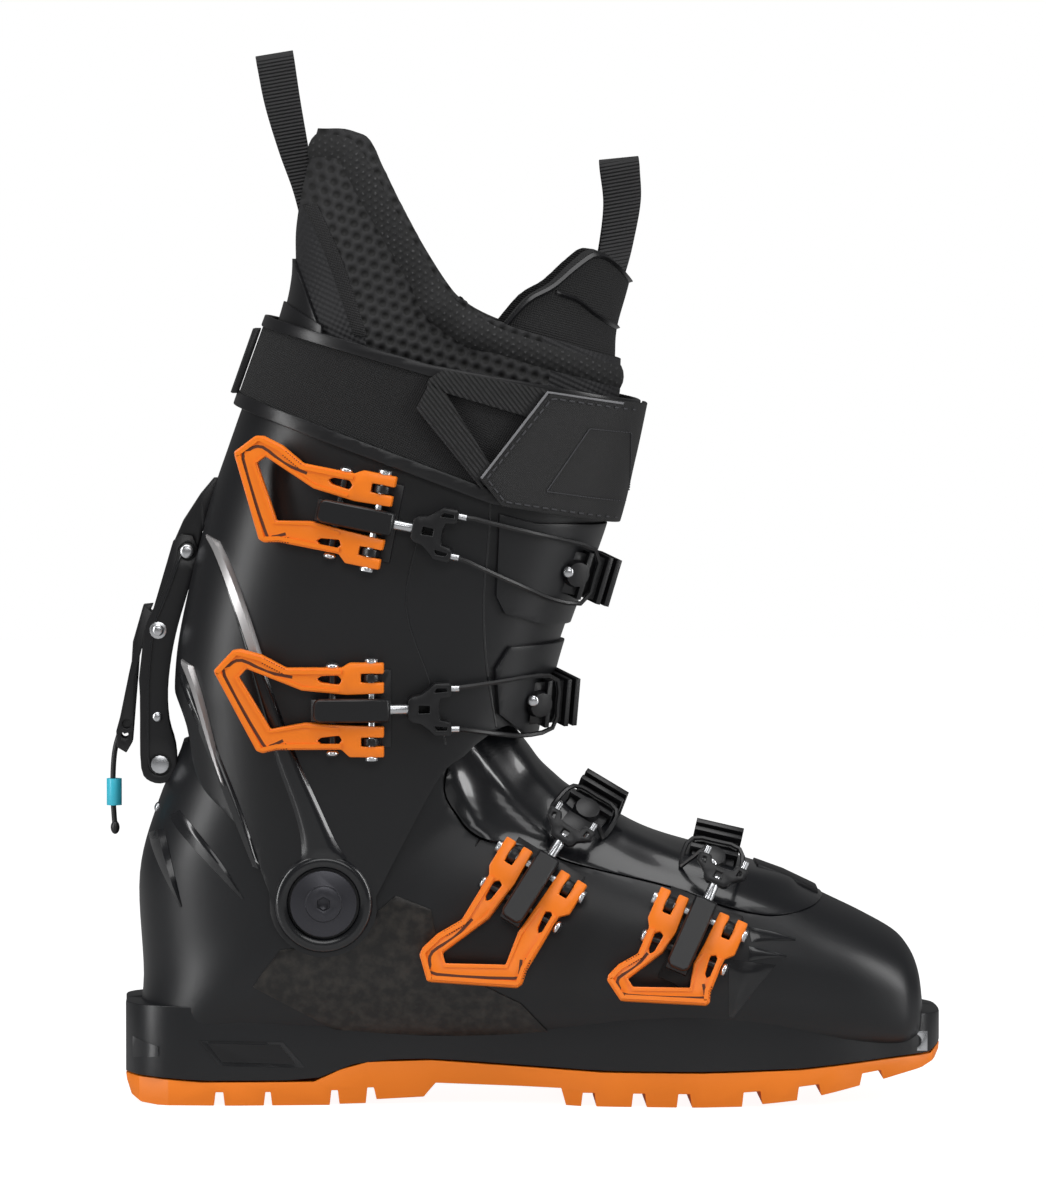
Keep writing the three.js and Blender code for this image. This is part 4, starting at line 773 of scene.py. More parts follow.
def patch(name, sheet, points, rise, thickness, body, mat, rim=0.3, lateral=True):
    """A piece of a surface inside an outline, its outer face the given rise above the wall."""
    bm = sheet(rise)
    keep_near(bm, points, lateral)
    trim(bm, outline_at(points))
    skin_thickness(bm, thickness, min(rim, 0.18))
    return finish_mesh(name, bm, body, [mat])


def ribbon(points, width):
    """The outline of a narrow band along a line."""
    left, right = [], []
    for i, (x, z) in enumerate(points):
        ax, az = points[max(0, i - 1)]
        bx, bz = points[min(len(points) - 1, i + 1)]
        length = math.hypot(bx - ax, bz - az) or 1
        nx, nz = (az - bz) / length * width / 2, (bx - ax) / length * width / 2
        left.append((x + nx, z + nz))
        right.append((x - nx, z - nz))
    return [*left, *right[::-1]]


# %% [markdown]
# Stitches and fine lines are laid on a surface: a ray from the side finds the place and the
# direction of the wall there.

# %% Tools for stitches
def side_tree(sheet, grow):
    bm = sheet(grow)
    tree = BVHTree.FromBMesh(bm)
    bm.free()
    return tree


def on_side(tree, x, z):
    place, normal, _, _ = tree.ray_cast(at(x, -200, z), Vector((0, 1, 0)))
    return place, (normal if normal is None or normal.y < 0 else -normal)


def stitches(name, tree, line, body, mat, length=2.2, gap=1.2, width=0.55):
    """A row of short threads along a line in the side view."""
    bm = bmesh.new()
    points = np.array(line, float)
    run = np.concatenate([[0], np.cumsum(np.linalg.norm(np.diff(points, axis=0), axis=1))])
    start = gap
    while start + length < run[-1]:
        ends = [(np.interp(s, run, points[:, 0]), np.interp(s, run, points[:, 1]))
                for s in (start, start + length)]
        (a, n), (b, _) = on_side(tree, *ends[0]), on_side(tree, *ends[1])
        start += length + gap
        if a is None or b is None:
            continue
        along = (b - a).normalized()
        across = n.cross(along)
        frame_matrix = Matrix((along, across, n)).transposed().to_4x4()
        frame_matrix.translation = (a + b) / 2 + n * 0.1 * MM
        scale = Matrix.Diagonal((length * MM, width * MM, 0.45 * MM, 1))
        bmesh.ops.create_cube(bm, size=1, matrix=frame_matrix @ scale)
    if not bm.verts:
        bm.free()
        return None
    return finish_mesh(name, bm, body, [mat], sharp=50)


thread_grey = new_material("grey thread", (0.05, 0.05, 0.055), 0.7)
edge_grey = new_material("light edge", (0.2, 0.2, 0.21), 0.55)

# %% [markdown]
# A band is a strip between two lines in the side view. Its points are found on the wall by rays,
# and it rises over the wall as a roof, a flat bar or a blade.

# %% Tool for bands
def resample(line, count):
    points = np.array(line, float)
    run = np.concatenate([[0], np.cumsum(np.linalg.norm(np.diff(points, axis=0), axis=1))])
    marks = np.linspace(0, run[-1], count)
    return np.array([np.interp(marks, run, points[:, k]) for k in (0, 1)]).T


PROFILES = {
    "roof": lambda u: 1 - abs(2 * u - 1),
    "bar": lambda u: min(1, min(u, 1 - u) / 0.2),
    "blade": lambda u: u / 0.75 if u < 0.75 else (1 - u) / 0.25,
}


def band(name, tree, left, right, rise, body, slot, mat, profile="bar", rows=46, across=10, taper=0.12):
    left, right = resample(soft_line(left, 4), rows), resample(soft_line(right, 4), rows)
    bm = bmesh.new()
    top, under = [], []
    for i in range(rows):
        share = i / (rows - 1)
        fade = min(1, (share + 0.02) / taper, (1 - share + 0.02) / taper)
        ups, downs = [], []
        for j in range(across + 1):
            u = j / across
            x, z = left[i] + (right[i] - left[i]) * u
            place, normal = on_side(tree, x, z)
            if place is None:
                place, normal = (ups[-1], Vector((0, -1, 0))) if ups else (None, None)
                if place is None:
                    break
                ups.append(place)
                downs.append(downs[-1])
                continue
            height = 0.2 + rise * fade * PROFILES[profile](u)
            ups.append(place + normal * height * MM)
            downs.append(place - normal * 0.8 * MM)
        if len(ups) == across + 1:
            top.append([bm.verts.new(p) for p in ups])
            under.append([bm.verts.new(p) for p in downs])
    for rows_of, flip in ((top, False), (under, True)):
        for low, high in zip(rows_of, rows_of[1:]):
            for j in range(across):
                quad = (low[j], low[j + 1], high[j + 1], high[j])
                bm.faces.new(quad[::-1] if flip else quad)
    for a, b in zip(range(len(top) - 1), range(1, len(top))):
        for j in (0, across):
            bm.faces.new((top[a][j], top[b][j], under[b][j], under[a][j]))
    for end in (0, -1):
        for j in range(across):
            bm.faces.new((top[end][j], top[end][j + 1], under[end][j + 1], under[end][j]))
    bmesh.ops.remove_doubles(bm, verts=bm.verts[:], dist=1e-7)
    bmesh.ops.recalc_face_normals(bm, faces=bm.faces[:])
    return finish_mesh(name, bm, body, [mat], sharp=34)


def stud(name, tree, x, z, radius, height, body, mat):
    place, normal = on_side(tree, x, z)
    while place is None:
        x += 0.5
        place, normal = on_side(tree, x, z)
    turn = Vector((0, 0, 1)).rotation_difference(normal).to_matrix().to_4x4()
    bm = bmesh.new()
    move = Matrix.Translation(place) @ turn @ Matrix.Diagonal((1, 1, height / radius, 1))
    bmesh.ops.create_uvsphere(bm, u_segments=28, v_segments=14, radius=radius * MM, matrix=move)
    return finish_mesh(name, bm, body, [mat])


cuff_tree = side_tree(cuff_sheet, 0)
shell_tree = side_tree(shell_sheet, 0)

# %% Pads, ribs and facets of the cuff
for name, pad in zip(("upper_pad", "lower_pad"), PADS):
    patch(name, cuff_sheet, pad, 1.8, 2.0, "cuff", cuff_black, 0.7)
RIB_LEFT = [(-118, 205), (-112, 187), (-106.5, 168), (-100.8, 147), (-96, 130),
            (-89.5, 112), (-86.5, 100), (-86.4, 92)]
RIB_RIGHT = [(-116.4, 205), (-108.5, 187), (-101.5, 168), (-94, 147), (-87.6, 130),
             (-79.5, 112), (-74, 100), (-69.5, 93)]
band("cuff_rib", cuff_tree, RIB_LEFT, RIB_RIGHT, 1.5, "cuff", "gloss_plastic", gloss_black,
     "bar", 70, 12, 0.04)
# Two flat facets at the back of the cuff, raised a little; their silver-grey colour is a painted highlight.
HIGH_LEFT = [(-121.3, 212), (-117.6, 205), (-111, 186), (-104.9, 166.7)]
HIGH_RIGHT = [(-116.4, 209.8), (-111.6, 200), (-105.8, 184), (-99.9, 165.7)]
band("cuff_facet_high", cuff_tree, HIGH_LEFT, HIGH_RIGHT, 2.0, "cuff", "gloss_plastic", facet_highlight,
     "bar", 40, 10, 0.03)
# The lower facet is painted with the same highlight.
LIGHT_LEFT = [(-130.6, 165.6), (-126.2, 155), (-119.6, 133.2), (-114.9, 120.2)]
LIGHT_RIGHT = [(-126.3, 163.4), (-122.6, 151.8), (-117.5, 132), (-114.2, 119.6)]
band("cuff_facet_light", cuff_tree, LIGHT_LEFT, LIGHT_RIGHT, 1.8, "cuff", "gloss_plastic", facet_highlight,
     "bar", 40, 10, 0.03)
EDGE_LEFT = [(-132.6, 160), (-124.8, 141), (-113.5, 112.7), (-104.4, 90)]
EDGE_RIGHT = [(-129.6, 160), (-120.5, 140), (-109, 112), (-101.6, 89)]
band("cuff_rear_edge", cuff_tree, EDGE_LEFT, EDGE_RIGHT, 1.3, "cuff", "gloss_plastic", gloss_black,
     "blade", 50, 10, 0.08)
SEAM = soft_line([(-42, 218), (-47.8, 187.1), (-38.5, 157.4), (-33, 135)], 4)
patch("cuff_seam", cuff_sheet, ribbon(SEAM, 0.7), 0.12, 0.4, "cuff", gloss_black, 0.05)
OVERLAP = soft_line([(-16, 250), (-17, 215), (-19, 190), (-18, 165), (-14, 141)], 3)
patch("cuff_overlap_edge", cuff_sheet, ribbon(OVERLAP, 0.8), 0.15, 0.4, "cuff",
      gloss_black, 0.05)


# %% [markdown]
# The ear round the pivot carries a raised ring; it is turned from a small profile.

# %% Turned pieces
def turned(name, profile, centre_xz, face_y, body, mat, outward=-1, steps=64):
    """Turns a profile of [radius, height] about an axis along Y. Heights run outward from face_y."""
    bm = bmesh.new()
    rows = []
    for radius, height in profile:
        row = []
        for i in range(steps):
            t = 2 * math.pi * i / steps
            x, z = centre_xz[0] + radius * math.cos(t), centre_xz[1] + radius * math.sin(t)
            place = at(x, face_y + outward * height, z)
            row.append(bm.verts.new(place))
        rows.append(row)
    for low, high in zip(rows, rows[1:]):
        for i in range(steps):
            j = (i + 1) % steps
            bm.faces.new((low[i], low[j], high[j], high[i]))
    if profile[0] != profile[-1]:
        bm.faces.new(rows[0])
        bm.faces.new(rows[-1][::-1])
    else:
        bmesh.ops.remove_doubles(bm, verts=bm.verts[:], dist=1e-6)
    return finish_mesh(name, bm, body, [mat], sharp=50)


EAR_FACE = -50.9
for side_sign, side_name in ((-1, "lateral"), (1, "medial")):
    ring = [(13.2, -1.5), (13.2, 0.5), (13.7, 1.0), (15.8, 1.2), (17.2, 0.9), (18.2, -0.2),
            (18.2, -1.5), (13.2, -1.5)]
    turned("pivot_ring_" + side_name, ring, PIVOT_XZ, -side_sign * EAR_FACE, "cuff",
           gloss_black, side_sign)


# %% Marks on the lower shell
carbon = new_material("carbon patch", (0.012, 0.01, 0.009), 0.34)
tint(carbon, noise(carbon, 260, 6.0), (0.007, 0.006, 0.0055), (0.03, 0.026, 0.022), 0.4, 0.68)
CARBON = [
    (-104.7, 45), (-94.3, 58.8), (-72, 61.4), (-51.5, 78.9), (-38.5, 73.7), (-34.8, 53.2), (-5, 38.3),
    (9.9, 22), (12.1, 16.5), (-57.1, 18.6),
]
patch("carbon_patch", shell_sheet, CARBON, 0.5, 0.7, "shell", carbon, 0.05)
stud("shell_plug", shell_tree, -122.5, 125.7, 3.9, 0.9, "shell", gloss_black)
stud("spur_rivet", shell_tree, -140.6, 109.4, 1.9, 1.2, "shell", steel)
BACK_LEFT = [(-143.6, 106), (-143.2, 99), (-139.4, 89), (-131.5, 73.7)]
BACK_RIGHT = [(-140.4, 108), (-137, 101), (-134.4, 90), (-130.7, 74)]
band("heel_guard_back", shell_tree, BACK_LEFT, BACK_RIGHT, 1.5, "shell", "gloss_plastic", gloss_black,
     "blade", 40, 8, 0.25)
FRONT_LEFT = [(-135.4, 107.4), (-131.5, 101.6), (-120.3, 89.7), (-108.4, 77.4)]
FRONT_RIGHT = [(-131.6, 109.6), (-127, 104.6), (-116.2, 91.2), (-107.8, 77.8)]
band("heel_guard_front", shell_tree, FRONT_LEFT, FRONT_RIGHT, 0.5, "shell", "gloss_plastic", gloss_black,
     "blade", 40, 8, 0.25)
band("toe_crease_high", shell_tree, [(79, 67.4), (88, 65.4), (96.5, 62.9)],
     [(80, 61.9), (88, 62.4), (96.5, 62.3)],
     0.25, "shell", "gloss_plastic", gloss_black, "bar", 24, 6, 0.2)
band("toe_crease_low", shell_tree, [(79, 60.4), (86, 58.8), (93, 56.8)], [(79, 55), (86, 56), (93, 56.2)],
     0.25, "shell", "gloss_plastic", gloss_black, "bar", 24, 6, 0.2)
band("toe_rib", shell_tree, [(71.6, 55.6), (71.6, 44), (71.8, 34)], [(89, 53.4), (81, 44), (73.4, 33.8)],
     0.7, "shell", "gloss_plastic", gloss_black, "roof", 24, 8, 0.2)

# %% [markdown]
# ## Liner
# The leg part of the liner is a padded tube with a rolled collar, and a tongue stands in its front.
# The collar is swept along the rim of the tube.

# %% Liner rings
LINER_TOP = [
    [33.2, 276, -88.6, 306, 48.8], [34, 288, -88, 326, 48], [38.8, 306, -84, 348, 47], [43, 330, -77, 372, 46],
]


def liner_rings():
    rows = []
    for fx, fz, rx, rz, half in CUFF_RINGS[1:8]:
        length = math.hypot(fx - rx, fz - rz)
        step = 4.4 / length
        dx, dz = (fx - rx) * step, (fz - rz) * step
        rows.append([fx - dx, fz - dz, rx + dx, rz + dz, half - 4.4])
    return smooth_rows([*rows, *LINER_TOP], 10)


def liner_sheet(grow, around=144):
    bm = bmesh.new()
    ring_grid(bm, liner_rings(), grow, CUFF_ROUNDNESS, around)
    return bm


COLLAR_LINE = [
    (-84, 362.5), (-78.3, 362.6), (-66, 361), (-57.5, 348), (-48.2, 331.5), (-34, 308), (-25.5, 298.3),
    (-12.5, 291), (8, 284.5), (32, 277),
]
REAR_PANEL = [(-110, 390), (-94, 350), (-86.9, 336), (-76, 316), (-62.7, 285.7), (-60, 260), (-140, 260)]
FRONT_PANEL = [(2, 288), (6, 276), (4, 262), (60, 250), (60, 285), (30, 278)]
TONGUE_EDGE = [(-13, 289), (-3, 300), (6.5, 305.4), (15.4, 312.9), (22.9, 317.3), (30.3, 313.5), (38.5, 304.3)]


# %% [markdown]
# The rim of a trimmed tube is one closed ring of points. The collar follows it, a little inside and
# below, so that the padding wraps the rim.

# %% Collar roll
def rim_ring(bm, steps):
    """Evenly spaced points of the upper rim with the outward direction at each."""
    bm.normal_update()
    links = {}
    for edge in (e for e in bm.edges if e.is_boundary):
        for a, b in ((edge.verts[0], edge.verts[1]), (edge.verts[1], edge.verts[0])):
            links.setdefault(a, []).append(b)
    start = max(links, key=lambda v: v.co.z)
    walk, before, here = [start], None, start
    while True:
        ahead = [v for v in links[here] if v is not before]
        before, here = here, ahead[0]
        if here is start or len(walk) > 5000:
            break
        walk.append(here)
    points = np.array([v.co for v in walk])
    normals = np.array([v.normal for v in walk])
    closed = np.vstack([points, points[:1]])
    run = np.concatenate([[0], np.cumsum(np.linalg.norm(np.diff(closed, axis=0), axis=1))])
    marks = np.linspace(0, run[-1], steps, endpoint=False)
    wrapped = np.vstack([normals, normals[:1]])
    points = np.array([np.interp(marks, run, closed[:, k]) for k in range(3)]).T
    normals = np.array([np.interp(marks, run, wrapped[:, k]) for k in range(3)]).T
    for _ in range(12):
        points = (np.roll(points, 1, 0) + 2 * points + np.roll(points, -1, 0)) / 4
        normals = (np.roll(normals, 1, 0) + 2 * normals + np.roll(normals, -1, 0)) / 4
    return points, normals / np.linalg.norm(normals, axis=1)[:, None]


def collar_roll(name, rim, depth, thick, inset, mat, body="cuff", around=20):
    points, normals = rim
    tangents = np.roll(points, -1, 0) - np.roll(points, 1, 0)
    tangents /= np.linalg.norm(tangents, axis=1)[:, None]
    ups = np.cross(tangents, normals)
    ups *= np.sign(ups[:, 2:3].mean())
    bm = bmesh.new()
    rows = []
    for p, n, u in zip(points, normals, ups):
        centre = p - n * inset * MM - u * depth * MM
        row = []
        for i in range(around):
            t = 2 * math.pi * i / around
            row.append(bm.verts.new(centre + (n * thick * math.cos(t) + u * depth * math.sin(t)) * MM))
        rows.append(row)
    for low, high in zip(rows, [*rows[1:], rows[0]]):
        for i in range(around):
            j = (i + 1) % around
            bm.faces.new((low[i], low[j], high[j], high[i]))
    piece = finish_mesh(name, bm, body, [mat], sharp=80)
    return piece


# %% Liner leg and tongue
def liner_leg():
    bm = liner_sheet(0)
    edge = [*soft_line(COLLAR_LINE, 6), (70, 268), (70, 206), (-170, 206), (-170, 362.5)]
    trim(bm, outline_at(edge))
    panels = [outline_at(p) for p in (REAR_PANEL, FRONT_PANEL)]
    for panel in panels:
        score(bm, panel)
    for face in bm.faces:
        c = face.calc_center_median()
        if any(inside(p, c.x, c.z) for p in panels):
            face.material_index = 1
    rim = rim_ring(bm, 260)
    skin_thickness(bm, 7.6, 0.05)
    piece = finish_mesh("liner_leg", bm, "cuff", [mesh_cloth, ripstop], ["liner_cuff"],
                        sharp=70)
    roll = collar_roll("liner_collar", rim, 6.8, 5.4, 3.9, collar)


def tongue():
    bm = liner_sheet(-2.2)
    edge = [*soft_line(TONGUE_EDGE, 5), (70, 300), (70, 240), (-8, 240)]
    trim(bm, outline_at(edge))
    skin_thickness(bm, 5.5, 1.6)
    piece = finish_mesh("liner_tongue", bm, "cuff", [plain_cloth], sharp=70)


plain_cloth = woven("plain cloth", (0.0045, 0.0045, 0.005), 1.2, 30, 0.5, 0.8)
liner_leg()
tongue()
liner_tree = side_tree(liner_sheet, 0)
band("liner_seam_rear", liner_tree, [(-85, 334), (-76.5, 314), (-66.8, 286)],
     [(-80.4, 335), (-71.2, 314.5), (-61.8, 286)],
     0.5, "cuff", "liner_fabric", plain_cloth, "bar", 40, 8, 0.05)
SPOILER_HIGH = [(-95.5, 312), (-94, 314.6), (-89.7, 314.4), (-79.8, 289), (-92, 289)]
SPOILER_LOW = [(-104, 288), (-100.5, 300), (-97.5, 301), (-79, 290), (-79, 284)]
patch("rear_spoiler_high", liner_sheet, SPOILER_HIGH, 1.4, 1.8, "cuff",
      trim_black, 0.18, False)
patch("rear_spoiler_low", liner_sheet, SPOILER_LOW, 2.6, 1.8, "cuff",
      trim_black, 0.18, False)
tongue_tree = side_tree(liner_sheet, -2.2)
TONGUE_RIM = [(x, z - 0.4) for x, z in TONGUE_EDGE]
PIPING_EDGE = [(x + 0.4, z - 2.6) for x, z in TONGUE_EDGE]
band("tongue_piping", tongue_tree, TONGUE_RIM, PIPING_EDGE, 1.4, "cuff", "liner_fabric",
     trim_black, "roof", 60, 8, 0.03)
band("tongue_fold", tongue_tree, [(8, 303), (16, 300), (24, 294), (38, 286)],
     [(8, 301), (16, 298), (24, 292), (38, 284)],
     1.0, "cuff", "liner_fabric", trim_black, "roof", 40, 8, 0.06)


# %% [markdown]
# ## Strap, grip tab and clip
# The power strap is woven in the middle with a moulded rail along each edge. The grip tab is sewn
# on in front, and a folded webbing holds it.

# %% Power strap
STRAP_EDGE = [
    (-120, 299.6), (-101, 293.5), (-38.5, 275.7), (60, 257.8), (60, 212.4), (35.2, 216.1),
    (-16.2, 224.3), (-124, 264.6),
]
TAB_EDGE = [(5.4, 266), (60, 257.8), (58, 212.4), (35.2, 215.6), (-12.5, 223.6), (-20.6, 234)]


def power_strap():
    bm = cuff_sheet(3.0)
    trim(bm, outline_at(STRAP_EDGE))
    skin_thickness(bm, 2.4, 0.4)
    finish_mesh("power_strap_cloth", bm, "cuff", [strap_cloth], ["power_strap"])
    upper, lower = STRAP_EDGE[:4], STRAP_EDGE[4:]
    for name, line, width in (("strap_rail_high", upper, -4.4), ("strap_rail_low", lower, 5.4)):
        inner = [(x, z + width) for x, z in line]
        band = [*line, *inner[::-1]]
        rail = cuff_sheet(3.8)
        trim(rail, outline_at(band))
        skin_thickness(rail, 2.0, 0.4)
        finish_mesh(name, rail, "cuff", [trim_black])


def grip_tab():
    bm = cuff_sheet(6.4)
    trim(bm, outline_at(TAB_EDGE))
    gone = [f for f in bm.faces if drawn(f.calc_center_median())[1] > 6]
    bmesh.ops.delete(bm, geom=gone, context="FACES")
    skin_thickness(bm, 1.5, 0.3)
    finish_mesh("grip_tab", bm, "cuff", [tab_cloth], ["finger_tab"])
    light = [(-20.1, 234), (4.6, 265.6), (33, 261)]
    patch("grip_tab_edge", cuff_sheet, ribbon(light, 0.8), 6.7, 1.2, "cuff", edge_grey, 0.1)
    tree = side_tree(cuff_sheet, 6.5)
    seam = [(36, 217.5), (-11.5, 225.4), (-18, 234), (6, 263.4), (38, 258.4)]
    stitches("grip_tab_stitches", tree, seam, "cuff", thread_grey)
    panel = [(36, 224), (4, 229), (20, 252), (36, 250)]
    stitches("grip_tab_panel", tree, [*panel, panel[0]], "cuff", thread_grey, 1.0, 0.0, 0.35)


tab_cloth = woven("grip tab cloth", (0.007, 0.007, 0.0075), 0.7, 8, 0.35, 0.6)
power_strap()
grip_tab()
polish("strap_clip", "cuff", trim_black, 0.5)
FOLD_HIGH = [(-39.5, 270.5), (-34, 274), (5, 266.4), (-1.4, 256), (-33, 265.3), (-41, 263)]
FOLD_LOW = [(-44.1, 259.7), (-39.5, 268.5), (-33, 265), (-15.4, 237), (-20, 230)]
patch("webbing_fold_high", cuff_sheet, FOLD_HIGH, 4.8, 1.5, "cuff", webbing, 0.3)
patch("webbing_fold_low", cuff_sheet, FOLD_LOW, 5.6, 1.5, "cuff", webbing, 0.3)


# %% [markdown]
# ## Pull loops
# Each loop is one length of ribbed webbing that goes up on the lateral side, over the fold and
# down on the medial side.

# %% Pull loops
def pull_loop(name, node, rows, top_gap=4.6):
    """Rows of [x, z, half width, distance from the middle] from the root up to the fold."""
    rows = smooth_rows(rows, 8)
    bm = bmesh.new()
    grid = []
    tilt = math.atan2(rows[-1][0] - rows[-4][0], rows[-1][1] - rows[-4][1])
    fold = []
    for i in range(1, 12):
        t = math.pi * i / 12
        rise = math.sin(t) * top_gap * 0.8
        x, z, half = rows[-1][0] + rise * math.sin(tilt), rows[-1][1] + rise * math.cos(tilt), rows[-1][2]
        fold.append((x, z, half, rows[-1][3] * math.cos(t)))
    course = [*[tuple(r) for r in rows], *fold, *[(r[0], r[1], r[2], -r[3]) for r in rows[::-1]]]
    for i, (x, z, half, out) in enumerate(course):
        lean = tilt if i > 6 else tilt * 0.8
        across = (math.cos(lean), -math.sin(lean))
        grid.append([bm.verts.new(at(x + across[0] * half * s, -out, z + across[1] * half * s))
                     for s in np.linspace(-1, 1, 7)])
    for low, high in zip(grid, grid[1:]):
        for i in range(6):
            bm.faces.new((low[i], low[i + 1], high[i + 1], high[i]))
    skin_thickness(bm, 1.2, 0.2)
    return finish_mesh(name, bm, "cuff", [loop_webbing], [node], sharp=60)


loop_webbing = ribbed("loop webbing", (0.009, 0.009, 0.01), 1.3, 10)
pull_loop("rear_webbing_loop", "rear_pull_loop",
          [(-83, 330, 3.6, 9), (-85.4, 341, 4.2, 6.5), (-89, 355, 5.6, 5.2),
            (-93, 372, 6.7, 5), (-95.6, 387, 7.1, 4.6)])
pull_loop("front_webbing_loop", "front_pull_loop",
          [(25, 297, 5, 24), (28.6, 308, 5.6, 17), (31.6, 320, 6.2, 9),
            (33.8, 335, 6.9, 5.4), (32.9, 348, 7.4, 4.6)])

# %% [markdown]
# ## Pivots and walk lock

# %% Pivots and walk lock
polish("pivot_bolt_lateral", "shell", pivot_metal, 0.5)
polish("pivot_bolt_medial", "shell", pivot_metal, 0.5)
polish("cuff_bracket", "cuff", trim_black, 0.4)
polish("lock_bar", "lock_bar", trim_black, 0.4)
polish("bar_heel_pin", "shell", steel, 0.4)


def side_plate(name, outline, y_low, y_high, body, mat, rim=0.5, holes=()):
    """A flat plate in the side view between two widths."""
    rings = [[((p := at(x, 0, z)).x, p.z) for x, z in loop] for loop in (outline, *holes)]
    bm = plate_mesh(rings[0], 0, (y_high - y_low) * MM, rings[1:])
    base = at(0, y_low, 0).y
    for vert in bm.verts:
        x, z, y = vert.co
        vert.co = (x, base + y, z)
    bmesh.ops.recalc_face_normals(bm, faces=bm.faces[:])
    round_edges(bm, sharp_edges(bm, 30), rim, 2)
    return finish_mesh(name, bm, body, [mat])


def side_circle(centre, radius, steps=28):
    turns = [2 * math.pi * i / steps for i in range(steps)]
    return [(centre[0] + radius * math.cos(t), centre[1] + radius * math.sin(t)) for t in turns]


BAR_HALF = 10.4
BAR_CHEEK = [
    (-131.9, 206.5), (-134.4, 198.5), (-138, 190), (-142.2, 182), (-144.6, 176), (-146.4, 160), (-146.6, 142.5),
    (-146.2, 124), (-142.7, 119), (-137, 118.6), (-133.2, 122.9), (-133.4, 132), (-135.8, 141), (-136.4, 152),
    (-135, 165), (-132.4, 177), (-128.6, 190), (-125.6, 200), (-125.4, 206.5), (-128.6, 209.4),
]
BAR_GROOVE = [
    (-131.2, 203.5), (-137.2, 187.4), (-141.2, 177), (-143.2, 160), (-143.6, 143), (-143.2, 126), (-140.4, 121.8),
]
BAR_CHEEK_RISE = 1.1
for sign, where in ((-1, "lateral"), (1, "medial")):
    y = sorted((sign * (BAR_HALF + 0.1), sign * (BAR_HALF + BAR_CHEEK_RISE)))
    side_plate("bar_cheek_" + where, soft_line([*BAR_CHEEK, BAR_CHEEK[0]], 3)[:-1], y[0], y[1], "lock_bar",
               trim_black, 0.35, [side_circle((-139.2, 125.4), 4.3), side_circle((-128.9, 205), 3.6)])
    y = sorted((sign * (BAR_HALF + 1.0), sign * (BAR_HALF + 1.5)))
    side_plate("bar_groove_" + where, ribbon(soft_line(BAR_GROOVE, 4), 0.9), y[0], y[1], "lock_bar",
               gloss_black, 0.15)
BAR_RIVETS = [((-139.7, 175.6), 2.3, "lock_bar"), ((-140.1, 143.2), 1.9, "lock_bar"),
              ((-128.9, 205), 2.7, "lock_bar")]
for i, (spot, radius, body) in enumerate(BAR_RIVETS):
    for sign, where in ((-1, "lateral"), (1, "medial")):
        dome = [(radius, -0.6), (radius, 0.35), (radius * 0.86, 0.8), (radius * 0.5, 1.05), (0.3, 1.1)]
        face_y = sign * (BAR_HALF + BAR_CHEEK_RISE)
        turned("bar_rivet_" + str(i) + "_" + where, dome, spot, face_y, body, steel, sign, 28)
LEVER_CHEEK = [
    (-141.6, 185), (-145.4, 184.6), (-149.3, 171), (-150.2, 157), (-155.6, 137.6), (-155.4, 131.6), (-151.8, 129.4),
    (-149.4, 133.6), (-148.4, 146), (-147.2, 160), (-146.2, 176),
]
for sign, where in ((-1, "lateral"), (1, "medial")):
    y = sorted((sign * 5.2, sign * 6.6))
    side_plate("release_cheek_" + where, LEVER_CHEEK, y[0], y[1], "release_lever", trim_black, 0.4,
               [side_circle((-152.3, 140.2 - 4.0), 1.3, 16)])
polish("bar_top_pin", "cuff", steel, 0.2)
polish("release_lever", "release_lever", trim_black, 0.4)
polish("release_pin", "lock_bar", steel, 0.4)

# %% [markdown]
# ## Buckles
# Each buckle is drawn in its own frame: x pulls towards the catch, y is the hinge pin and z points
# away from the shell. The joints of the frame give where that is.

# %% Buckle frames
LINK_SETBACK = 14.4


def buckle_frame(name):
    hinge = Vector(JOINTS[name + "_lever_hinge"]["pos_m"])
    link = Vector(JOINTS[name + "_link_hinge"]["pos_m"])
    y = Vector(JOINTS[name + "_lever_hinge"]["axis"]).normalized()
    x = (hinge - link).normalized()
    z = x.cross(y)
    matrix = Matrix((x, y, z)).transposed().to_4x4()
    matrix.translation = hinge
    return matrix


ARM_OUTER, ARM_INNER, FORK_CENTRE, FRONT_REACH = 17.4, 6.2, 11.8, 4.6
LEVER_THICKNESS = 4.6
FORK_HALF = 1.65


def lever_outline(reach):
    def fork(sign):
        return [
            (FRONT_REACH, sign * (FORK_CENTRE + FORK_HALF)), (-3.8, sign * (FORK_CENTRE + FORK_HALF)),
            (-3.8, sign * (FORK_CENTRE - FORK_HALF)), (FRONT_REACH, sign * (FORK_CENTRE - FORK_HALF)),
        ]

    upper = [
        (FRONT_REACH, ARM_INNER), *fork(1)[::-1], (FRONT_REACH, ARM_OUTER), (-8, ARM_OUTER),
        (-11, ARM_OUTER - 1.8), (-reach * 0.54, ARM_OUTER - 1.9), (-reach * 0.7, ARM_OUTER + 3),
        (-reach * 0.83, ARM_OUTER + 5), (-reach * 0.88, ARM_OUTER + 4.6),
        (-reach, ARM_OUTER - 2.8), (-reach * 0.99, ARM_OUTER - 4.4),
    ]
    lower = [
        (-reach * 0.73, -ARM_OUTER + 2.2), (-reach * 0.69, -ARM_OUTER + 1.4),
        (-reach * 0.6, -ARM_OUTER + 2.6), (-11, -ARM_OUTER + 2.8), (-8, -ARM_OUTER),
        (FRONT_REACH, -ARM_OUTER), *fork(-1), (FRONT_REACH, -ARM_INNER),
    ]
    inner = [
        (-9, -ARM_INNER + 0.6), (-reach * 0.42, -ARM_INNER + 1.4), (-reach * 0.64, -ARM_INNER - 1),
        (-reach * 0.84, ARM_INNER + 6), (-reach * 0.79, ARM_INNER + 9),
        (-reach * 0.44, ARM_INNER + 1), (-9, ARM_INNER - 0.6),
    ]
    return [*upper, *lower, *inner]


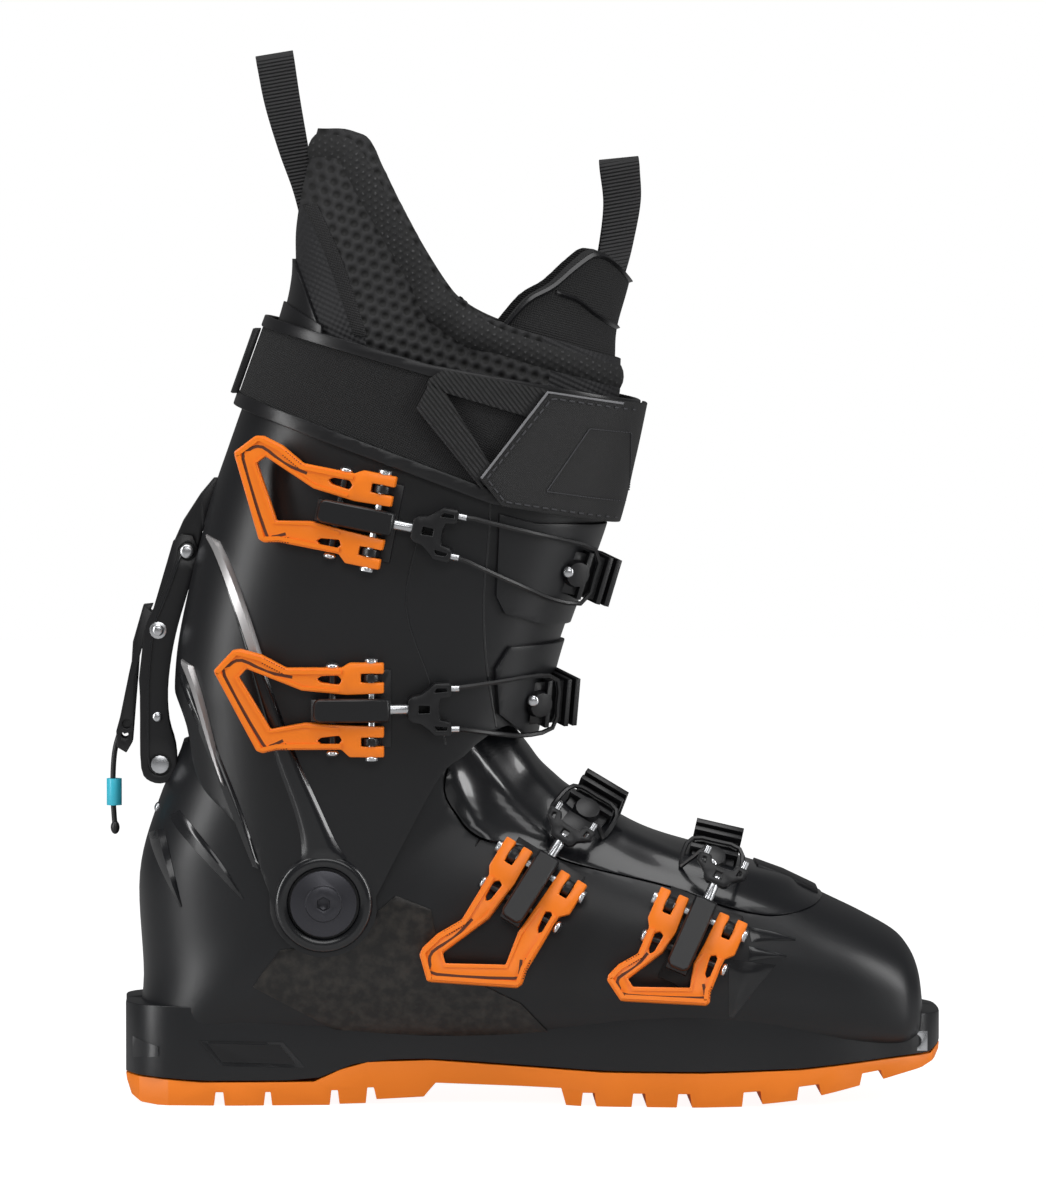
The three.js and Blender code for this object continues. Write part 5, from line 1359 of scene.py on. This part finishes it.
def arm_slots():
    slot = [(-18.5, 10.2), (-11.8, 9.4), (-10.8, 11.2), (-12.2, 12.8), (-18.4, 12.6), (-20, 11.4)]
    return [[(x, sign * y) for x, y in slot] for sign in (1, -1)]


def lever(name, reach):
    half = LEVER_THICKNESS / 2
    scaled = [[(x * MM, y * MM) for x, y in loop] for loop in (lever_outline(reach), *arm_slots())]
    bm = plate_mesh(scaled[0], -half * MM, half * MM, scaled[1:])
    round_edges(bm, sharp_edges(bm, 25), 0.5, 2)
    bmesh.ops.transform(bm, matrix=buckle_frame(name), verts=bm.verts[:])
    return finish_mesh(name + " lever", bm, name + "_lever", [orange_plastic], [name + "_lever"])


# %% [markdown]
# On each lever a dark strip runs along the loop in place of a cut groove; its dark colour is painted shade. Rows of
# fine dots, painted the same dark, give the thumb a hold, and four domed rivets close the two pins.

# %% Lever details
def strip_mesh(bm, line, width, low, high):
    outline = ribbon(line, width)
    n = len(line)
    left, right = outline[:n], outline[n:][::-1]
    rows = []
    for (lx, ly), (rx, ry) in zip(left, right):
        corners = ((lx, ly, low), (rx, ry, low), (rx, ry, high), (lx, ly, high))
        rows.append([bm.verts.new((x * MM, y * MM, z * MM)) for x, y, z in corners])
    for a, b in zip(rows, rows[1:]):
        for i in range(4):
            j = (i + 1) % 4
            bm.faces.new((a[i], a[j], b[j], b[i]))
    bm.faces.new(rows[0])
    bm.faces.new(rows[-1][::-1])


def shifted(line, step):
    """The line moved sideways, to its left when the step is positive."""
    moved = []
    for i, (x, y) in enumerate(line):
        ax, ay = line[max(0, i - 1)]
        bx, by = line[min(len(line) - 1, i + 1)]
        length = math.hypot(bx - ax, by - ay) or 1
        moved.append((x - (by - ay) / length * step, y + (bx - ax) / length * step))
    return moved


def lever_marks(name, reach):
    half = LEVER_THICKNESS / 2
    bm = bmesh.new()
    line = [
        (-reach * 0.5, 12.2), (-reach * 0.66, 14.2), (-reach * 0.82, 18.4), (-reach * 0.9, 16.6),
        (-reach * 0.93, 12.6), (-reach * 0.69, -12.4), (-reach * 0.64, -13.2), (-reach * 0.56, -11.2),
    ]
    # A dark strip laid on the top face: painted shade of a groove along the loop.
    strip_mesh(bm, soft_line(line, 3), 1.1, half - 0.5, half + 0.06)
    rim_bm = bmesh.new()
    edge = [
        (-11, 15.6), (-reach * 0.54, 15.5), (-reach * 0.7, 20.4), (-reach * 0.83, 22.4), (-reach * 0.88, 22.0),
        (-reach, 14.6), (-reach * 0.99, 13.0), (-reach * 0.73, -15.2), (-reach * 0.69, -16), (-reach * 0.6, -14.8),
        (-11, -14.6),
    ]
    strip_mesh(rim_bm, shifted(edge, 1.5), 1.5, half - 0.4, half + 0.6)
    hole = [
        (-12, ARM_INNER - 0.2), (-reach * 0.44, ARM_INNER + 1), (-reach * 0.79, ARM_INNER + 9),
        (-reach * 0.84, ARM_INNER + 6), (-reach * 0.64, -ARM_INNER - 1), (-reach * 0.42, -ARM_INNER + 1.4),
        (-12, -ARM_INNER + 0.2),
    ]
    strip_mesh(rim_bm, shifted(hole, -1.1), 1.0, half - 0.4, half + 0.35)
    round_edges(rim_bm, sharp_edges(rim_bm, 40), 0.3, 1)
    bmesh.ops.transform(rim_bm, matrix=buckle_frame(name), verts=rim_bm.verts[:])
    finish_mesh(name + "_lever_rim", rim_bm, name + "_lever", [orange_plastic])
    # The grip dots are painted dark: painted shade of the knurl.
    dots = [((-reach * 0.56, 14.4), (-reach * 0.7, 18.6)), ((-reach * 0.66, -14.6), (-reach * 0.52, -13.2))]
    for (x0, y0), (x1, y1) in dots:
        length = math.hypot(x1 - x0, y1 - y0)
        ux, uy = (x1 - x0) / length, (y1 - y0) / length
        for row in range(3):
            for i in range(int(length / 1.0)):
                u = i * 1.0 + (row % 2) * 0.5
                place = (x0 + ux * u - uy * (row - 1) * 0.9, y0 + uy * u + ux * (row - 1) * 0.9, half)
                move = Matrix.Translation(Vector(place) * MM) @ Matrix.Diagonal((1, 1, 0.4, 1))
                bmesh.ops.create_icosphere(bm, subdivisions=1, radius=0.3 * MM, matrix=move)
    bmesh.ops.transform(bm, matrix=buckle_frame(name), verts=bm.verts[:])
    finish_mesh(name + "_lever_marks", bm, name + "_lever", [orange_painted_shade])


def lever_rivets(name, body):
    bm = bmesh.new()
    for x in (0, -LINK_SETBACK):
        for sign in (-1, 1):
            move = Matrix.Translation(Vector((x, sign * (ARM_OUTER + 0.5 - (1.8 if x else 0)), 0)) * MM)
            flat = Matrix.Diagonal((1, 0.55, 1, 1))
            bmesh.ops.create_uvsphere(bm, u_segments=20, v_segments=12, radius=2.5 * MM, matrix=move @ flat)
    bmesh.ops.transform(bm, matrix=buckle_frame(name), verts=bm.verts[:])
    finish_mesh(name + "_rivets", bm, body, [steel])


# The ferrules grip the two ends of the cable, beyond the end of the yoke.
FERRULE_REACH, FERRULE_SIDE, FERRULE_RADIUS, FERRULE_LENGTH = 1.3, 7.5, 1.25, 3.2
REACH = {"upper": 56.5, "lower": 58, "instep": 56.5, "toe": 40}


def link_frame(name):
    """The frame of the block: the buckle frame moved to the link pin and dipped along the bolt."""
    seat = buckle_frame(name)
    back = seat.inverted()
    bolt = bpy.data.objects[name + "_bolt"]
    points = np.array([back @ (bolt.matrix_world @ v.co) for v in bolt.data.vertices])
    run = points[:, 0]
    low = points[run < np.percentile(run, 30)].mean(0)
    high = points[run > np.percentile(run, 70)].mean(0)
    x = Vector((high - low)).normalized()
    x = Vector((x.x, 0, x.z)).normalized()
    y = Vector((0, 1, 0))
    z = x.cross(y)
    matrix = Matrix((x, y, z)).transposed().to_4x4()
    matrix.translation = Vector(low)
    return seat @ matrix, float(Vector(high - low).length)


def measure(name, node):
    """Extent of a node in the block's frame, in millimetres."""
    frame_matrix, _ = link_frame(name)
    back = frame_matrix.inverted()
    obj = bpy.data.objects[node]
    points = np.array([back @ (obj.matrix_world @ v.co) for v in obj.data.vertices]) / MM
    return points.min(0), points.max(0)


def yoke(name):
    low, high = measure(name, name + "_yoke")
    s, e, half = low[0], high[0], (high[1] - low[1]) / 2
    length = e - s
    up = [
        (s, 3.4), (s + 0.1 * length, 4.8), (s + 0.3 * length, 5.4), (s + 0.5 * length, 7.8), (s + 0.62 * length, half),
        (e - 0.6, half + 0.2), (e, half - 0.6), (e, half - 4.4), (e - 0.9, half - 5.0), (s + 0.74 * length, half - 5.4),
        (s + 0.7 * length, 1.6),
    ]
    outline = [*up, *[(x, -y) for x, y in up[::-1]]]
    slot = [
        (s + 0.6 * length, half - 3.4), (s + 0.66 * length, half - 1.8), (e - 1.6, half - 1.8), (e - 1.4, half - 3.0),
    ]
    window = [(s + 0.24 * length, 1.5), (s + 0.24 * length, -1.5), (s + 0.5 * length, -1.3), (s + 0.5 * length, 1.3)]
    holes = [slot, [(x, -y) for x, y in slot], window]
    scaled = [[(x * MM, y * MM) for x, y in loop] for loop in (outline, *holes)]
    bm = plate_mesh(scaled[0], low[2] * MM, high[2] * MM, scaled[1:])
    round_edges(bm, sharp_edges(bm, 30), 0.3, 2)
    frame_matrix, _ = link_frame(name)
    bmesh.ops.transform(bm, matrix=frame_matrix, verts=bm.verts[:])
    finish_mesh(name + "_yoke_plate", bm, name + "_link", [trim_black], [name + "_yoke"])
    bm = bmesh.new()
    middle = (low[2] + high[2]) / 2
    for sign in (-1, 1):
        move = Matrix.Translation(Vector((e + FERRULE_REACH, sign * FERRULE_SIDE, middle)) * MM)
        bmesh.ops.create_cone(bm, cap_ends=True, segments=16, radius1=FERRULE_RADIUS * MM,
                              radius2=FERRULE_RADIUS * MM, depth=FERRULE_LENGTH * MM,
                              matrix=move @ Matrix.Rotation(math.pi / 2, 4, "Y"))
    bmesh.ops.transform(bm, matrix=frame_matrix, verts=bm.verts[:])
    finish_mesh(name + "_ferrules", bm, name + "_link", [steel])


def block_cap(name):
    """A bevelled bar over the block, in the block's own frame."""
    low, high = measure(name, name + "_block")
    half = 4.4
    outline = [(low[0] + 0.6, -half + 1.6), (low[0] + 2.4, -half), (high[0] - 0.3, -half), (high[0] - 0.3, half),
               (low[0] + 2.4, half), (low[0] + 0.6, half - 1.6)]
    bm = plate_mesh([(x * MM, y * MM) for x, y in outline], (high[2] - 2.2) * MM, (high[2] + 0.6) * MM)
    round_edges(bm, sharp_edges(bm, 30), 0.8, 1)
    frame_matrix, _ = link_frame(name)
    bmesh.ops.transform(bm, matrix=frame_matrix, verts=bm.verts[:])
    finish_mesh(name + "_block_cap", bm, name + "_link", [trim_black])


def catch_rivet(name, body):
    """A steel rivet on the highest point of the catch boss."""
    obj = bpy.data.objects[name + "_catch"]
    out = buckle_frame(name).to_3x3() @ Vector((0, 0, 1))
    points = [obj.matrix_world @ v.co for v in obj.data.vertices]
    top = max(p.dot(out) for p in points)
    near = [p for p in points if top - p.dot(out) < 0.25 * MM]
    centre = sum(near, Vector()) / len(near)
    bm = bmesh.new()
    turn = Vector((0, 0, 1)).rotation_difference(out).to_matrix().to_4x4()
    move = Matrix.Translation(centre) @ turn @ Matrix.Diagonal((1, 1, 0.45, 1))
    bmesh.ops.create_uvsphere(bm, u_segments=20, v_segments=12, radius=2.1 * MM, matrix=move)
    finish_mesh(name + "_catch_rivet", bm, body, [steel])
for buckle, reach in REACH.items():
    base_body = "cuff" if buckle in ("upper", "lower") else "shell"
    lever(buckle, reach)
    lever_marks(buckle, reach)
    lever_rivets(buckle, buckle + "_lever")
    polish(buckle + "_base", base_body, trim_black, 0.3)
    polish(buckle + "_base_pin", base_body, steel, 0.3)
    polish(buckle + "_catch", base_body, trim_black, 0.35)
    polish(buckle + "_block", buckle + "_link", trim_black, 0.5)
    polish(buckle + "_bolt", buckle + "_link", steel, 0.3)
    yoke(buckle)
    block_cap(buckle)
    catch_rivet(buckle, base_body)
    polish(buckle + "_cable", buckle + "_link", cable_black, 0.05, 80, 0.01)

# %% [markdown]
# ## Cord and bead

# %% Cord and bead
bead = polish("cord_bead", "release_lever", bead_cyan, 0.6)
CORD_LINE = [(-152.3, 140.2), (-154.2, 137), (-156, 131), (-156.8, 124), (-157, 114), (-156.6, 106), (-156.2, 101)]


def pull_cord():
    line = np.array([at(x, 0, z) for x, z in soft_line(CORD_LINE, 6)])
    curve = bpy.data.curves.new("release_cord", "CURVE")
    curve.dimensions = "3D"
    curve.bevel_depth = 1.0 * MM
    curve.bevel_resolution = 4
    curve.use_fill_caps = True
    spline = curve.splines.new("POLY")
    spline.points.add(len(line) - 1)
    for point, place in zip(spline.points, line):
        point.co = (*place, 1)
    curve.materials.append(cable_black)
    cord = bpy.data.objects.new("release_cord", curve)
    bpy.context.scene.collection.objects.link(cord)
    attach(cord, "release_lever")
    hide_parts("pull_cord")
    bm = bmesh.new()
    knot_place = Matrix.Translation(Vector(line[-1])) @ Matrix.Diagonal((1, 1, 1.5, 1))
    bmesh.ops.create_uvsphere(bm, u_segments=16, v_segments=10, radius=1.7 * MM, matrix=knot_place)
    knot = finish_mesh("cord_knot", bm, "release_lever", [cable_black])


pull_cord()


# %% [markdown]
# ## Floor

# %% Floor
def floor():
    bm = bmesh.new()
    bmesh.ops.create_grid(bm, x_segments=1, y_segments=1, size=3)
    mesh = bpy.data.meshes.new("floor")
    bm.to_mesh(mesh)
    bm.free()
    mat = new_material("floor white", (0.9, 0.9, 0.9), 0.35)
    shader = mat.node_tree.nodes["Principled BSDF"]
    shader.inputs["Emission Color"].default_value = (1, 1, 1, 1)
    path = mat.node_tree.nodes.new("ShaderNodeLightPath")
    seen = math_node(mat, "ADD", math_node(mat, "MULTIPLY", path.outputs["Is Camera Ray"], 0.78), 0.15)
    mat.node_tree.links.new(seen, shader.inputs["Emission Strength"])
    shader.inputs["Base Color"].default_value = (0.35, 0.35, 0.35, 1)
    mesh.materials.append(mat)
    obj = bpy.data.objects.new("floor", mesh)
    bpy.context.scene.collection.objects.link(obj)


floor()
